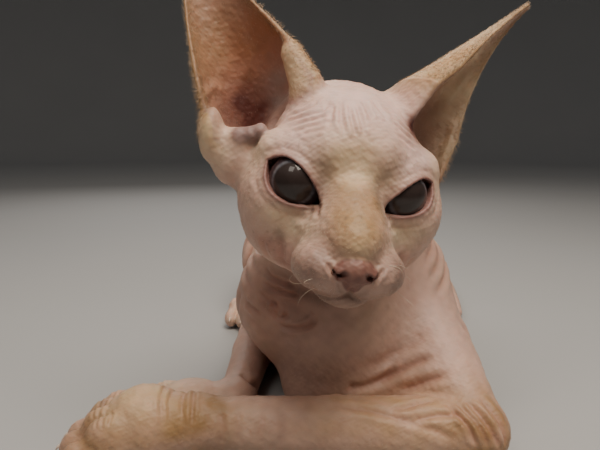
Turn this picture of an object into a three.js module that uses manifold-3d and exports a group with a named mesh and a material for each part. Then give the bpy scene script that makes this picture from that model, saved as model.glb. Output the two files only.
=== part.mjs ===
// A life-size young sphynx cat lying on its chest, head up, its left foreleg laid across in front of it.
// Millimetres. The cat faces -Y, its left side is +X and +Z is up.
// The origin is on the floor, under the breast.

import * as THREE from "three";
import { ParametricGeometry } from "three/addons/geometries/ParametricGeometry.js";
import { mergeVertices } from "three/addons/utils/BufferGeometryUtils.js";
import Module from "manifold-3d";

const wasm = await Module();
wasm.setup();

// Driving dimensions
const HEAD_WIDTH = 80; // across the cheekbones
const EYE_DIAMETER = 20.8;
const EYE_SPACING = 35.6; // between the middles of the eyeballs
const EAR_HEIGHT = 80; // from the skull to the tip
const BODY_WIDTH = 92; // at the ribs
const BACK_HEIGHT = 106; // from the floor to the spine
const GAP = 0.3; // kept between neighbouring solids

const head = HEAD_WIDTH / 80; // the sizes of the head below are for a head 80 wide
const halfWidth = BODY_WIDTH / 2;
const halfHeight = BACK_HEIGHT / 2;

// Colours and finish
const SKIN = new THREE.MeshStandardMaterial({ color: 0xd2a594, roughness: 0.62, metalness: 0 });
const EAR_SKIN = new THREE.MeshStandardMaterial({ color: 0xcfa27f, roughness: 0.75, metalness: 0 });
const EYE = new THREE.MeshStandardMaterial({ color: 0x1c1a1d, roughness: 0.08, metalness: 0 });

// Points and directions are [x, y, z].
const plus = (a, b, times = 1) => [a[0] + b[0] * times, a[1] + b[1] * times, a[2] + b[2] * times];
const minus = (a, b) => plus(a, b, -1);
const dot = (a, b) => a[0] * b[0] + a[1] * b[1] + a[2] * b[2];
const cross = ([ax, ay, az], [bx, by, bz]) => [ay * bz - az * by, az * bx - ax * bz, ax * by - ay * bx];
const size = (a) => Math.sqrt(dot(a, a));
const scaled = (a, times) => a.map((x) => x * times);
const unit = (a) => scaled(a, 1 / size(a));
const mix = (a, b, share) => a + (b - a) * share;
const mixPoint = (a, b, share) => a.map((x, i) => mix(x, b[i], share));
const vector = (a) => new THREE.Vector3(...a);
const radians = THREE.MathUtils.degToRad;
const line = (...points) => new THREE.CatmullRomCurve3(points.map(vector));

// A frame of its own at a point: rolled about Y, then pitched about X, then turned about Z, in degrees.
function frameAt(at, { yaw = 0, pitch = 0, roll = 0 }) {
  const turn = new THREE.Euler(radians(pitch), radians(roll), radians(yaw), "ZXY");
  const matrix = new THREE.Matrix4().makeRotationFromEuler(turn);
  const axes = [0, 1, 2].map((i) => new THREE.Vector3().setFromMatrixColumn(matrix, i).toArray());
  const local = (p) => axes.map((axis) => dot(minus(p, at), axis));
  const world = (q) => q.reduce((p, x, i) => plus(p, axes[i], x), at);
  const direction = (q) => minus(world(q), at);
  return { at, axes, local, world, direction };
}

// Fields that are negative inside a form and zero on its surface
function ellipsoid(p, at, radii) {
  const q = minus(p, at).map((x, i) => x / radii[i]);
  const reach = size(q);
  const slope = size(q.map((x, i) => x / radii[i]));
  return reach === 0 ? -Math.min(...radii) : (reach * (reach - 1)) / slope;
}

function roundCone(p, a, b, radiusA, radiusB) {
  const along = minus(b, a);
  const share = THREE.MathUtils.clamp(dot(minus(p, a), along) / dot(along, along), 0, 1);
  return size(minus(p, plus(a, along, share))) - mix(radiusA, radiusB, share);
}

// The smaller of two fields, run together over a width.
function blend(a, b, width) {
  const near = Math.max(width - Math.abs(a - b), 0) / width;
  return Math.min(a, b) - (near * near * width) / 4;
}

// Head in its own frame: it faces -Y, and its middle is midway between the eyeballs.
const HEAD = frameAt([-6, -60, 117], { yaw: 4.5, pitch: 5, roll: 8 });
const onHead = (q, side = 1) => HEAD.world(scaled([q[0] * side, q[1], q[2]], head));
const EYE_AT = [EYE_SPACING / 2, 0, 0];
const EYE_RADIUS = (EYE_DIAMETER / 2) * head;
const LID = { thick: 1.2, blend: 4 };
const GAZE = { out: 17, up: 3 }; // degrees that each eye looks outwards and upwards

const SKULL = [
  { part: "cranium", at: [0, 34, 8], radii: [31, 37, 28.5] },
  { part: "forehead", at: [0, 12, 12], radii: [23, 22, 18], blend: 10 },
  { part: "brow", from: [9, -4, 11], to: [27, 6, 10], radii: [5, 5.5], blend: 8 },
  { part: "cheekbone", at: [25, 12, -7], radii: [13.2, 20, 14], blend: 10 },
  { part: "jowl", at: [19.5, 14, -19], radii: [14, 20, 13], blend: 10 },
  { part: "snout", at: [0, -8, -15], radii: [16, 22, 14], blend: 8 },
  { part: "bridge", from: [0, -4, 3], to: [0, -27, -12], radii: [11, 8], blend: 8 },
  { part: "whisker pad", at: [7.5, -22, -22], radii: [9.5, 12, 8], blend: 5 },
  { part: "jaw", from: [3, -16, -28], to: [21, 18, -22], radii: [7, 10], blend: 8 },
  { part: "chin", at: [0, -21.5, -29.5], radii: [8, 8.5, 6], blend: 4 },
  { part: "nose", at: [0, -33, -17], radii: [6.3, 4.8, 4.8], blend: 2.5 },
];

function skullPart(q, { at, from, to, radii }) {
  if (at) return ellipsoid(q, scaled(at, head), scaled(radii, head));
  return roundCone(q, scaled(from, head), scaled(to, head), ...scaled(radii, head));
}

function headField(p) {
  const q = HEAD.local(p);
  q[0] = Math.abs(q[0]);
  const [cranium, ...others] = SKULL;
  let f = skullPart(q, cranium);
  for (const part of others) f = blend(f, skullPart(q, part), part.blend * head);
  const lid = size(minus(q, scaled(EYE_AT, head))) - EYE_RADIUS - LID.thick;
  return blend(f, lid, LID.blend * head);
}

// Torso, neck and shoulders
const TORSO = [
  { part: "chest", at: [0, 42, 51], radii: [halfWidth * 0.93, 64, halfHeight] },
  { part: "breast", at: [0, 8, 35], radii: [36, 32, 38], blend: 14 },
  { part: "belly", at: [0, 116, 51], radii: [halfWidth * 1.02, 80, halfHeight], blend: 24 },
  { part: "hips", at: [0, 184, 54], radii: [halfWidth * 0.8, 58, halfHeight * 1.03], blend: 26 },
  { part: "right shoulder", at: [-33, 14, 54], radii: [19, 26, 30], blend: 10 },
  { part: "left shoulder", at: [32, 20, 58], radii: [19, 26, 32], blend: 10 },
];
const NECK = { from: onHead([0, 34, -5]), to: [0, 22, 62], radii: [27, 35], blend: 14 };
const THROAT_BLEND = 12;

function coreField(p) {
  const [chest, ...others] = TORSO;
  let f = ellipsoid(p, chest.at, chest.radii);
  for (const part of others) f = blend(f, ellipsoid(p, part.at, part.radii), part.blend);
  f = blend(f, roundCone(p, NECK.from, NECK.to, ...NECK.radii), NECK.blend);
  return blend(f, headField(p), THROAT_BLEND);
}

// A paw in its own frame: the wrist at the origin, the toes towards -Y, the pads on the floor.
const TOE = { count: 4, middleReach: 3.5, bend: 3, blend: 3.2 };
const FRONT_PAW = {
  heel: { at: [0, -5, 12], radii: [10.5, 11, 10.5] },
  palm: { at: [0, -21, 13], radii: [13.5, 16, 13.5], blend: 5 },
  toe: {
    spread: 6.8,
    fan: 1.15,
    knuckle: [-33, 12.5],
    tip: [-43, 6.6],
    swell: [5, 8.5, 8.3],
    end: [4.6, 7, 6.8],
  },
};
const HIND_PAW = {
  heel: { at: [0, 14, 12], radii: [10, 16, 10] },
  palm: { at: [0, -10, 11], radii: [13.5, 18, 10.5], blend: 6 },
  toe: {
    spread: 7,
    fan: 1.15,
    knuckle: [-26, 11],
    tip: [-36, 7],
    swell: [5, 8.5, 7.2],
    end: [4.6, 7, 6],
  },
};

function pawField(spot, { heel, palm, toe }, girth) {
  const q = spot.map((x, i) => x / girth[i]);
  let f = blend(ellipsoid(q, heel.at, heel.radii), ellipsoid(q, palm.at, palm.radii), palm.blend);
  for (let i = 0; i < TOE.count; i++) {
    const place = (2 * i) / (TOE.count - 1) - 1;
    const across = place * (TOE.count - 1) * toe.spread * 0.5;
    const reach = TOE.middleReach * (1 - place ** 2);
    const high = ellipsoid(q, [across, toe.knuckle[0] - reach, toe.knuckle[1]], toe.swell);
    const low = ellipsoid(q, [across * toe.fan, toe.tip[0] - reach, toe.tip[1]], toe.end);
    f = blend(f, blend(high, low, TOE.bend), TOE.blend);
  }
  return f * Math.min(...girth);
}

// Forelegs: radii at the shoulder, elbow, middle of the forearm and wrist. The paws point to the cat's right.
const FORELEGS = {
  left: {
    joints: { shoulder: [32, 20, 56], elbow: [50, -42, 13.5], wrist: [-64, -41, 16.5] },
    radii: { shoulder: 20, elbow: 14, middle: 12, wrist: 10.5 },
    heading: 87,
    girth: [1.1, 1.08, 1.24],
  },
  right: {
    joints: { shoulder: [-33, 14, 52], elbow: [-46, 92, 15], wrist: [-54, -7, 8.5] },
    radii: { shoulder: 19, elbow: 14, middle: 11, wrist: 8.3 },
    heading: 85,
    girth: [0.92, 1, 0.72],
  },
};
const WRIST_BLEND = 6;

function forepawField(p, { joints, radii, heading, girth }) {
  const frame = frameAt([joints.wrist[0], joints.wrist[1], 0], { yaw: -heading });
  const forearm = roundCone(p, joints.elbow, joints.wrist, radii.elbow, radii.wrist);
  return blend(forearm, pawField(frame.local(p), FRONT_PAW, girth), WRIST_BLEND);
}

// Hind legs: the thigh lies along the flank, the shank folds back under it and the foot is flat on the floor.
const HIND_LEG = {
  hip: [34, 196, 62],
  knee: [45, 138, 45],
  hock: [51, 232, 13],
  toes: [57, 148, 11],
  splay: 3,
  thigh: [19, 50, 38],
  shank: [20, 16, 11],
  foot: [11.5, 11],
  blend: 6,
};

function hindLeg(side) {
  const mirrored = ([x, y, z]) => [x * side, y, z];
  const { hip, knee, hock, toes, splay } = HIND_LEG;
  const paw = frameAt([toes[0] * side, toes[1], 0], { yaw: side * splay });
  return { hip: mirrored(hip), knee: mirrored(knee), hock: mirrored(hock), toes: mirrored(toes), paw };
}

function hindFootField(p, { hock, toes, paw }) {
  const bone = roundCone(p, hock, toes, ...HIND_LEG.foot);
  return blend(bone, pawField(paw.local(p), HIND_PAW, [1, 1, 1]), HIND_LEG.blend);
}

// Tail: it leaves the rump, drops to the floor and curls forward round the left flank.
const TAIL = {
  line: line(
    [0, 226, 50],
    [3, 254, 30],
    [24, 276, 12],
    [62, 279, 8.6],
    [91, 252, 7.2],
    [101, 208, 5.9],
    [97, 163, 4.7],
    [92, 130, 3.8],
  ),
  radii: [15, 4.4],
  taper: 0.7,
  joints: [0.34, 0.64], // where it is parted, as shares of its length
  lastBone: 0.984, // beyond it the tip rounds off
};
const tailRadius = (t) => mix(TAIL.radii[0], TAIL.radii[1], t ** TAIL.taper);
const tailBones = Array.from({ length: 61 }, (_, i) => (i / 60) * TAIL.lastBone).map((t) => ({
  at: TAIL.line.getPoint(t).toArray(),
  radius: tailRadius(t),
}));
const tailField = (p) => Math.min(...tailBones.map(({ at, radius }) => size(minus(p, at)) - radius));

// The distance from a point inside a field to its skin, along a direction.
// A field grown by the gap is met that much further out.
function firstExit(field, from, way, most, grow = 0) {
  const at = (distance) => field(plus(from, way, distance)) - grow;
  const [caution, leastStep, halvings] = [0.7, 0.5, 22];
  let inside = 0;
  let outside = 0;
  while (at(outside) <= 0) {
    if (outside >= most) return most;
    inside = outside;
    outside += Math.max(-at(outside) * caution, leastStep);
  }
  for (let i = 0; i < halvings; i++) {
    const middle = (inside + outside) / 2;
    if (at(middle) > 0) outside = middle;
    else inside = middle;
  }
  return inside;
}

// A closed geometry as a solid: corners at one place become one, and faces shrunk to a line are dropped.
function solidOf(geometry) {
  for (const name of ["normal", "uv"]) geometry.deleteAttribute(name);
  const { index, attributes } = mergeVertices(geometry, 1e-3);
  const faces = [];
  for (let i = 0; i < index.count; i += 3) {
    const [a, b, c] = [0, 1, 2].map((k) => index.getX(i + k));
    if (a !== b && b !== c && c !== a) faces.push(a, b, c);
  }
  const make = (triVerts) =>
    new wasm.Manifold(
      new wasm.Mesh({
        numProp: 3,
        vertProperties: attributes.position.array,
        triVerts: new Uint32Array(triVerts),
      }),
    );
  const made = make(faces);
  return made.volume() > 0 ? made : make(faces.reverse());
}

function geometryOf(solid) {
  const { numProp, numVert, vertProperties, triVerts } = solid.getMesh();
  const corners = new Float32Array(numVert * 3);
  for (let i = 0; i < numVert; i++) corners.set(vertProperties.subarray(i * numProp, i * numProp + 3), i * 3);
  const geometry = new THREE.BufferGeometry();
  geometry.setAttribute("position", new THREE.BufferAttribute(corners, 3));
  geometry.setIndex(new THREE.BufferAttribute(triVerts, 1));
  geometry.computeVertexNormals();
  return geometry;
}

// Two directions square to a third
function squareTo(way) {
  const x = unit([way[1], -way[0], 1e-3]);
  return [x, cross(way, x)];
}

const ringWay = ([x, y], turn) => plus(scaled(x, Math.cos(turn)), y, Math.sin(turn));

// The skin of a field as seen from one point inside it. Its rows are closest together round the pole.
function wrapBall(field, centre, pole, { across, down, ease = 1, most, grow = 0 }) {
  const axis = unit(pole);
  const sides = squareTo(axis);
  const surface = (u, v, target) => {
    const tilt = Math.PI * v ** ease;
    const side = ringWay(sides, Math.PI * 2 * (u % 1));
    const way = plus(scaled(axis, Math.cos(tilt)), side, Math.sin(tilt));
    target.set(...plus(centre, way, firstExit(field, centre, way, most, grow)));
  };
  return solidOf(new ParametricGeometry(surface, across, down));
}

// The skin of a field as rings round a curve inside it. Both ends close on the curve.
function wrapTube(field, curve, { sides, rings, most, ease = 1, grow = 0 }) {
  const rows = rings + 2;
  const surface = (u, v, target) => {
    const row = Math.round(v * rows);
    const share = THREE.MathUtils.clamp((row - 1) / rings, 0, 1);
    const t = 1 - (1 - share) ** ease;
    const at = curve.getPoint(t).toArray();
    const way = ringWay(squareTo(curve.getTangent(t).toArray()), Math.PI * 2 * (u % 1));
    const reach = row === 0 || row === rows ? 0 : firstExit(field, at, way, most, grow);
    target.set(...plus(at, way, reach));
  };
  return solidOf(new ParametricGeometry(surface, sides, rows));
}

// A limb between two joints, turned on a lathe: its radii follow one another and both ends are round.
function limbSolid(from, to, radii) {
  const long = size(minus(to, from));
  const last = radii.length - 1;
  const dome = [0, 1, 2, 3].map((i) => (i * Math.PI) / 8);
  const profile = [
    ...dome.map((a) => [radii[0] * Math.sin(a), -radii[0] * Math.cos(a)]),
    ...radii.map((radius, i) => [radius, (long * i) / last]),
    ...dome.map((a) => [radii[last] * Math.sin(a), long + radii[last] * Math.cos(a)]).reverse(),
  ];
  const lathe = new THREE.LatheGeometry(profile.map(([x, y]) => new THREE.Vector2(x, y)), 16);
  const turn = new THREE.Quaternion().setFromUnitVectors(vector([0, 1, 0]), vector(unit(minus(to, from))));
  return solidOf(lathe.applyQuaternion(turn).translate(...from));
}

// An ellipsoid midway between two points: its radii are across, along and upwards.
function muscleSolid(from, to, [across, along, up]) {
  const form = new THREE.SphereGeometry(1, 16, 10).scale(across, up, along);
  const turn = new THREE.Matrix4().lookAt(vector([0, 0, 0]), vector(minus(to, from)), vector([0, 0, 1]));
  return solidOf(form.applyMatrix4(turn).translate(...mixPoint(from, to, 0.5)));
}

function ballSolid(at, radius, across = 24, down = 14) {
  return solidOf(new THREE.SphereGeometry(radius, across, down).translate(...at));
}

// All that lies beyond a plane, on the side that its arrow points to
function beyond(at, arrow) {
  const reach = 900;
  const block = new THREE.BoxGeometry(reach, reach, reach).translate(0, 0, reach / 2);
  const turn = new THREE.Quaternion().setFromUnitVectors(vector([0, 0, 1]), vector(unit(arrow)));
  return solidOf(block.applyQuaternion(turn).translate(...at));
}

const largest = (solid) => solid.decompose().sort((a, b) => b.volume() - a.volume())[0];
const floor = beyond([0, 0, 0], [0, 0, 1]);

// What lies past every one of some cuts, half the gap clear of each
function past(solid, ...cuts) {
  let kept = solid.intersect(floor);
  for (const { at, arrow } of cuts) kept = kept.intersect(beyond(plus(at, unit(arrow), GAP / 2), arrow));
  return largest(kept);
}

const otherWay = ({ at, arrow }) => ({ at, arrow: scaled(arrow, -1) });

// Cuts between head, neck, chest, belly and rump
const NAPE = { at: onHead([0, 40, -8]), arrow: HEAD.direction([0, 0.86, -0.52]) };
const COLLAR = { at: [0, 3, 76], arrow: [0.05, 0.72, -0.7] };
const WAIST = { at: [0, 88, 50], arrow: [0, 1, 0] };
const LOIN = { at: [0, 160, 50], arrow: [0, 1, 0] };

// Directions from an eye: straight ahead, out to the side and up
function eyeFrame(side) {
  const [out, up] = [radians(GAZE.out), radians(GAZE.up)];
  const ahead = unit(HEAD.direction([Math.sin(out) * side, -Math.cos(out), Math.sin(up)]));
  const upward = unit(minus(HEAD.axes[2], scaled(ahead, dot(HEAD.axes[2], ahead))));
  return { at: onHead(EYE_AT, side), ahead, upward, outward: scaled(cross(upward, ahead), side) };
}

// The almond between the lids, from the inner to the outer corner, which is the higher one
const FISSURE = { inner: 11.6, outer: 10.4, upper: 7.1, lower: 6.9, slant: 33, depth: 30 };

function lidOpening(side) {
  const { inner, outer, upper, lower, slant, depth } = FISSURE;
  const almond = new THREE.Shape();
  almond.moveTo(-inner, 0);
  almond.bezierCurveTo(-inner * 0.55, upper * 1.32, outer * 0.5, upper * 1.34, outer, 0);
  almond.bezierCurveTo(outer * 0.62, -lower * 1.4, -inner * 0.3, -lower * 1.3, -inner, 0);
  const prism = new THREE.ExtrudeGeometry(almond, { depth, bevelEnabled: false, curveSegments: 9 });
  const { at, ahead, upward, outward } = eyeFrame(side);
  const lean = radians(slant);
  const x = plus(scaled(outward, Math.cos(lean)), upward, Math.sin(lean));
  const y = plus(scaled(upward, Math.cos(lean)), outward, -Math.sin(lean));
  const basis = new THREE.Matrix4().makeBasis(vector(x), vector(y), vector(ahead));
  return solidOf(prism.scale(head, head, 1).applyMatrix4(basis).translate(...at));
}

// Points of the snout, given by the degrees sideways and down as seen from inside it
const SNOUT = onHead([0, -14, -18]);
const MOUTH = [
  [0, 16],
  [0, 30],
  [14, 38],
  [38, 37],
  [66, 30],
];
const GROOVE = 0.8 * head; // radius of the furrow between the lips
const NOSTRIL = { aim: [9.5, 3], radii: [1.9, 2.4, 1.2], flare: 28 };

function onSnout(side, [sideways, down]) {
  const [turn, dip] = [radians(sideways), radians(down)];
  const local = [side * Math.sin(turn) * Math.cos(dip), -Math.cos(turn) * Math.cos(dip), -Math.sin(dip)];
  const way = HEAD.direction(local);
  return plus(SNOUT, way, firstExit(coreField, SNOUT, way, HEAD_WIDTH));
}

function mouthSolid(side) {
  const route = line(...MOUTH.map((aim) => onSnout(side, aim)));
  const furrow = new THREE.Shape().absarc(0, 0, GROOVE, 0, Math.PI * 2);
  return solidOf(new THREE.ExtrudeGeometry(furrow, { steps: 10, curveSegments: 4, extrudePath: route }));
}

function nostrilSolid(side) {
  const hole = new THREE.SphereGeometry(head, 10, 8).scale(...NOSTRIL.radii);
  return solidOf(hole.rotateY(side * radians(NOSTRIL.flare)).translate(...onSnout(side, NOSTRIL.aim)));
}

function headSolid(skin) {
  let solid = past(skin, otherWay(NAPE));
  for (const side of [-1, 1]) {
    const socket = ballSolid(eyeFrame(side).at, EYE_RADIUS + GAP);
    const cuts = [socket, lidOpening(side), mouthSolid(side), nostrilSolid(side)];
    for (const cut of cuts) solid = solid.subtract(cut);
  }
  return largest(solid);
}

function eyeSolid(side) {
  const ball = new THREE.SphereGeometry(EYE_RADIUS, 18, 10).rotateX(Math.PI / 2);
  return solidOf(ball.translate(...eyeFrame(side).at));
}

// Ears: a thin leaf rolled into a cup. The section's angles are half of what it spans, and narrow from root to tip.
const EAR = {
  height: EAR_HEIGHT * head,
  sunk: 0.14, // how far the leaf goes on inside the skull, as a share of its height
  rootHeight: 0.24,
  slope: 0.16,
  thick: { root: 3, rim: 1.3 },
};
// Each leans outwards and back, and turns its cup to face a way. Its edges open round the root by some
// degrees, and each of them slims towards the tip by a power.
const EARS = {
  right: {
    side: -1,
    turn: { lean: 31, back: 10, face: 12 },
    root: [31, 26, 20],
    radii: [24, 8],
    outer: { span: 118, change: -20, slimming: 0.52 },
    inner: { span: 118, change: -28, slimming: 1.4 },
  },
  left: {
    side: 1,
    turn: { lean: 42, back: 22, face: 72 },
    root: [30, 26, 22],
    radii: [26, 7],
    outer: { span: 118, change: -14, slimming: 0.8 },
    inner: { span: 78, change: -6, slimming: 0.3 },
  },
};

function earRadius({ radii }, t) {
  return (t < 0 ? radii[0] * (1 + 1.6 * t) : mix(...radii, t ** 0.9)) * head;
}

// s runs from -1 at the outer edge to 1 at the inner one, t from 0 at the root to 1 at the tip.
function earAngle({ outer, inner }, s, t) {
  const up = Math.max(t, 0);
  const low = Math.max(1 - up / EAR.rootHeight, 0);
  const { span, change, slimming } = s < 0 ? outer : inner;
  return radians(span * (1 - up) ** slimming + change * low + 3) * s;
}

// Directions of an ear: inwards over the skull, out of the cup and up to the tip
function earFrame({ side, turn: { lean, back, face } }) {
  const up = vector([0, 0, 1])
    .applyAxisAngle(vector([1, 0, 0]), radians(-back))
    .applyAxisAngle(vector([0, 1, 0]), radians(side * lean));
  const ahead = vector([Math.sin(radians(face)) * side, -Math.cos(radians(face)), 0]);
  ahead.addScaledVector(up, -ahead.dot(up)).normalize();
  const inward = new THREE.Vector3().crossVectors(up, ahead).multiplyScalar(-side);
  return [inward, ahead, up].map((way) => HEAD.direction(way.toArray()));
}

function earSolid(ear) {
  const [inward, ahead, up] = earFrame(ear);
  const root = onHead(ear.root, ear.side);
  const [columns, rows] = [20, 14];
  const leaf = (s, t, inset) => {
    const radius = earRadius(ear, t) - inset;
    const angle = earAngle(ear, s, t);
    const sideways = radius * Math.sin(angle);
    const forwards = earRadius(ear, t) * 0.25 - radius * Math.cos(angle);
    const rise = t * EAR.height + EAR.slope * sideways * (1 - Math.max(t, 0)) ** 2;
    return plus(plus(plus(root, inward, sideways), ahead, forwards), up, rise);
  };
  // Each ring runs along the outer face from edge to edge, then back along the inner face.
  const surface = (u, v, target) => {
    const row = Math.round(v * rows);
    const t = mix(-EAR.sunk, 1, Math.max(row - 1, 0) / (rows - 1));
    const thick = mix(EAR.thick.root, EAR.thick.rim, THREE.MathUtils.clamp(t * 2, 0, 1));
    const ring = (u % 1) * 2;
    if (row === 0 || row === rows) target.set(...leaf(0, t, thick / 2));
    else if (ring < 1) target.set(...leaf(ring * 2 - 1, t, 0));
    else target.set(...leaf(3 - ring * 2, t, thick));
  };
  return solidOf(new ParametricGeometry(surface, columns, rows));
}

function forelegSolid({ joints, radii }) {
  const { shoulder, elbow, middle, wrist } = radii;
  const arm = limbSolid(joints.shoulder, joints.elbow, [shoulder, mix(shoulder, elbow, 0.5), elbow * 0.93]);
  const forearmRadii = [elbow, mix(elbow, middle, 0.6), middle, mix(middle, wrist, 0.5), wrist, wrist];
  return arm.add(limbSolid(joints.elbow, joints.wrist, forearmRadii));
}

function forepawSolid(leg) {
  const { joints, heading } = leg;
  const frame = frameAt([joints.wrist[0], joints.wrist[1], 0], { yaw: -heading });
  const toes = frame.direction([0, -1, 0]);
  const shape = { across: 24, down: 16, ease: 1.1, most: 44 };
  return wrapBall((p) => forepawField(p, leg), frame.world([0, -24, 9]), toes, shape);
}

function hindFootSolid(leg, grow = 0) {
  const heel = plus(leg.hock, unit(minus(leg.hock, leg.toes)), HIND_LEG.foot[0] - 1);
  const tip = leg.paw.world([0, HIND_PAW.toe.tip[0] - 9, 6]);
  const route = line(heel, leg.hock, mixPoint(leg.hock, leg.toes, 0.5), leg.toes, tip);
  return wrapTube((p) => hindFootField(p, leg), route, { sides: 16, rings: 20, most: 24, grow });
}

const nodes = {};

// Head, neck and torso share one skin, seen from inside each of them.
const headCentre = onHead([0, 13, -4]);
const nosePole = HEAD.direction([0, -1, -0.34]);
const reach = { head: 66 * head, neck: 60, torso: 75 };
const headShape = { across: 56, down: 36, ease: 1.22, most: reach.head };
const headSkin = wrapBall(coreField, headCentre, nosePole, headShape);
const neckRoute = line(onHead([0, 18, 14]), NECK.from, mixPoint(NECK.from, NECK.to, 0.5), NECK.to);
const neckSkin = wrapTube(coreField, neckRoute, { sides: 28, rings: 14, most: reach.neck });
const spine = line([0, -24, 46], [0, 60, 52], [0, 150, 54], [0, 246, 50]);
const torsoSkin = wrapTube(coreField, spine, { sides: 32, rings: 28, most: reach.torso });
const torsoRoom = wrapTube(coreField, spine, { sides: 32, rings: 28, most: reach.torso, grow: GAP });
const headRoom = wrapBall(coreField, headCentre, nosePole, { ...headShape, grow: GAP });

nodes.head = [headSolid(headSkin), SKIN];
nodes.neck = [past(neckSkin, NAPE, otherWay(COLLAR)), SKIN];
nodes.chest = [past(torsoSkin, COLLAR, otherWay(WAIST)), SKIN];
nodes.belly = [past(torsoSkin, WAIST, otherWay(LOIN)), SKIN];
nodes.rump = [past(torsoSkin, LOIN), SKIN];

for (const [name, ear] of Object.entries(EARS)) {
  nodes["ear_" + name] = [largest(earSolid(ear).subtract(headRoom)), EAR_SKIN];
  nodes["eye_" + name] = [eyeSolid(ear.side), EYE];
}

for (const [name, leg] of Object.entries(FORELEGS)) {
  const wrist = { at: leg.joints.wrist, arrow: minus(leg.joints.wrist, leg.joints.elbow) };
  nodes["foreleg_" + name] = [past(forelegSolid(leg).subtract(torsoRoom), otherWay(wrist)), SKIN];
  nodes["forepaw_" + name] = [past(forepawSolid(leg), wrist), SKIN];
}

for (const [name, side] of [["left", 1], ["right", -1]]) {
  const leg = hindLeg(side);
  const thigh = muscleSolid(leg.hip, leg.knee, HIND_LEG.thigh);
  const folded = thigh.add(limbSolid(leg.knee, leg.hock, HIND_LEG.shank));
  nodes["thigh_" + name] = [past(folded.subtract(torsoRoom).subtract(hindFootSolid(leg, GAP))), SKIN];
  nodes["hindfoot_" + name] = [past(hindFootSolid(leg).subtract(torsoRoom)), SKIN];
}

const wholeTail = wrapTube(tailField, TAIL.line, { sides: 10, rings: 26, most: 20, ease: 1.4 });
const tail = wholeTail.subtract(torsoRoom);
const [upperJoint, lowerJoint] = TAIL.joints.map((t) => ({
  at: TAIL.line.getPoint(t).toArray(),
  arrow: TAIL.line.getTangent(t).toArray(),
}));
nodes.tail_base = [past(tail, otherWay(upperJoint)), SKIN];
nodes.tail_middle = [past(tail, upperJoint, otherWay(lowerJoint)), SKIN];
nodes.tail_tip = [past(tail, upperJoint, lowerJoint), SKIN];

const cat = new THREE.Group();
for (const [name, [solid, material]] of Object.entries(nodes)) {
  const mesh = new THREE.Mesh(geometryOf(solid), material);
  mesh.name = name;
  cat.add(mesh);
}

export default cat;
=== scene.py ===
"""A life-size young hairless cat lying on its chest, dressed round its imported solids.

The forms are sized in millimetres, in the frame of the solids: the cat faces -Y, its left side
is +X, +Z is up and the floor is at zero. Meshes are made in metres. One skin stands for all the
flesh. Eyes, claws, whiskers and the down on the skin are pieces of their own.
"""
import logging
import math
from dataclasses import dataclass, field
from enum import Enum
from functools import cache, cached_property
from typing import Callable, Protocol, Sequence

import bpy
import numpy as np
from mathutils import Matrix, Vector


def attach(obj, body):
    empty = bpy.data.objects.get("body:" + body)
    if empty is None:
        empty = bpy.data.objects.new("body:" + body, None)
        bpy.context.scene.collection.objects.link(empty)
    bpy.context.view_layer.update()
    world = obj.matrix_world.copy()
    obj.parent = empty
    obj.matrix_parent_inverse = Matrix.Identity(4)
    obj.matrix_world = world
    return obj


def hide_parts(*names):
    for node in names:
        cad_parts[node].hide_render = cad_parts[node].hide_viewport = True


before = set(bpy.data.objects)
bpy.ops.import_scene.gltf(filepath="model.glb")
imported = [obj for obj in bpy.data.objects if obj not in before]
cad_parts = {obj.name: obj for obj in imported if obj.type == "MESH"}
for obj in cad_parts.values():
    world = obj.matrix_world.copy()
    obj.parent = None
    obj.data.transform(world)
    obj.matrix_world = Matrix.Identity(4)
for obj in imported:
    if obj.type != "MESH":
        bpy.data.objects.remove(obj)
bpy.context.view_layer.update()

Array = np.ndarray
Point = Sequence[float]  # the numbers of a place, a direction or a colour
Triple = tuple[float, float, float]
LOG = logging.getLogger("cat")
MM = 0.001
FAR = 1e3
REACH = 4.0  # beyond its melt, a form this far from some points near the skin has no say there


def unit(v: Array) -> Array:
    """The same direction with length one."""
    return v / np.maximum(np.linalg.norm(v, axis=-1, keepdims=True), 1e-12)


def mix(a: float | Array, b: float | Array, share: float | Array) -> float | Array:
    """A value that share of the way from a to b."""
    return a + (b - a) * share


def ease(low: float, high: float, value: Array) -> Array:
    """Rises smoothly from 0 at low to 1 at high."""
    t = np.clip((value - low) / (high - low), 0, 1)
    return t * t * (3 - 2 * t)


def bell(value: Array, width: float) -> Array:
    """One at zero, falling away smoothly over a width."""
    return np.exp(-((value / width) ** 2))


def melt_in(a: Array, b: Array, width: float) -> Array:
    """Two distance fields joined, run together over a width."""
    near = np.maximum(width - np.abs(a - b), 0) / width
    return np.minimum(a, b) - near * near * width / 4


def carve_out(a: Array, b: Array, width: float) -> Array:
    """Field a with form b taken out of it, its edge rounded over a width."""
    return -melt_in(-a, b, width)


@dataclass(frozen=True)
class Place:
    """A frame of its own: where it sits, and its x, y and z directions as rows."""

    at: Array
    axes: Array

    @classmethod
    def turned(cls, at: Point, yaw: float = 0, pitch: float = 0, roll: float = 0) -> "Place":
        """A place rolled about Y, then pitched about X, then turned about Z, in degrees.

        Args:
            at: where it sits.
            yaw: the turn about Z.
            pitch: the turn about X.
            roll: the turn about Y.

        Returns:
            The place.
        """
        spin, tip, tilt = (
            Matrix.Rotation(math.radians(angle), 3, axis)
            for angle, axis in ((yaw, "Z"), (pitch, "X"), (roll, "Y"))
        )
        return cls(np.array(at, float), np.array(spin @ tip @ tilt).T)

    def into(self, p: Array) -> Array:
        """World points as this place sees them."""
        return (p - self.at) @ self.axes.T

    def out(self, q: Array | Point) -> Array:
        """Points of this place in the world."""
        return self.at + np.asarray(q, float) @ self.axes

    def way(self, q: Array | Point) -> Array:
        """A direction of this place in the world."""
        return np.asarray(q, float) @ self.axes


WORLD = Place(np.zeros(3), np.eye(3))
HEAD = Place.turned((-6, -60, 117), yaw=4.5, pitch=5, roll=8)


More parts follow.
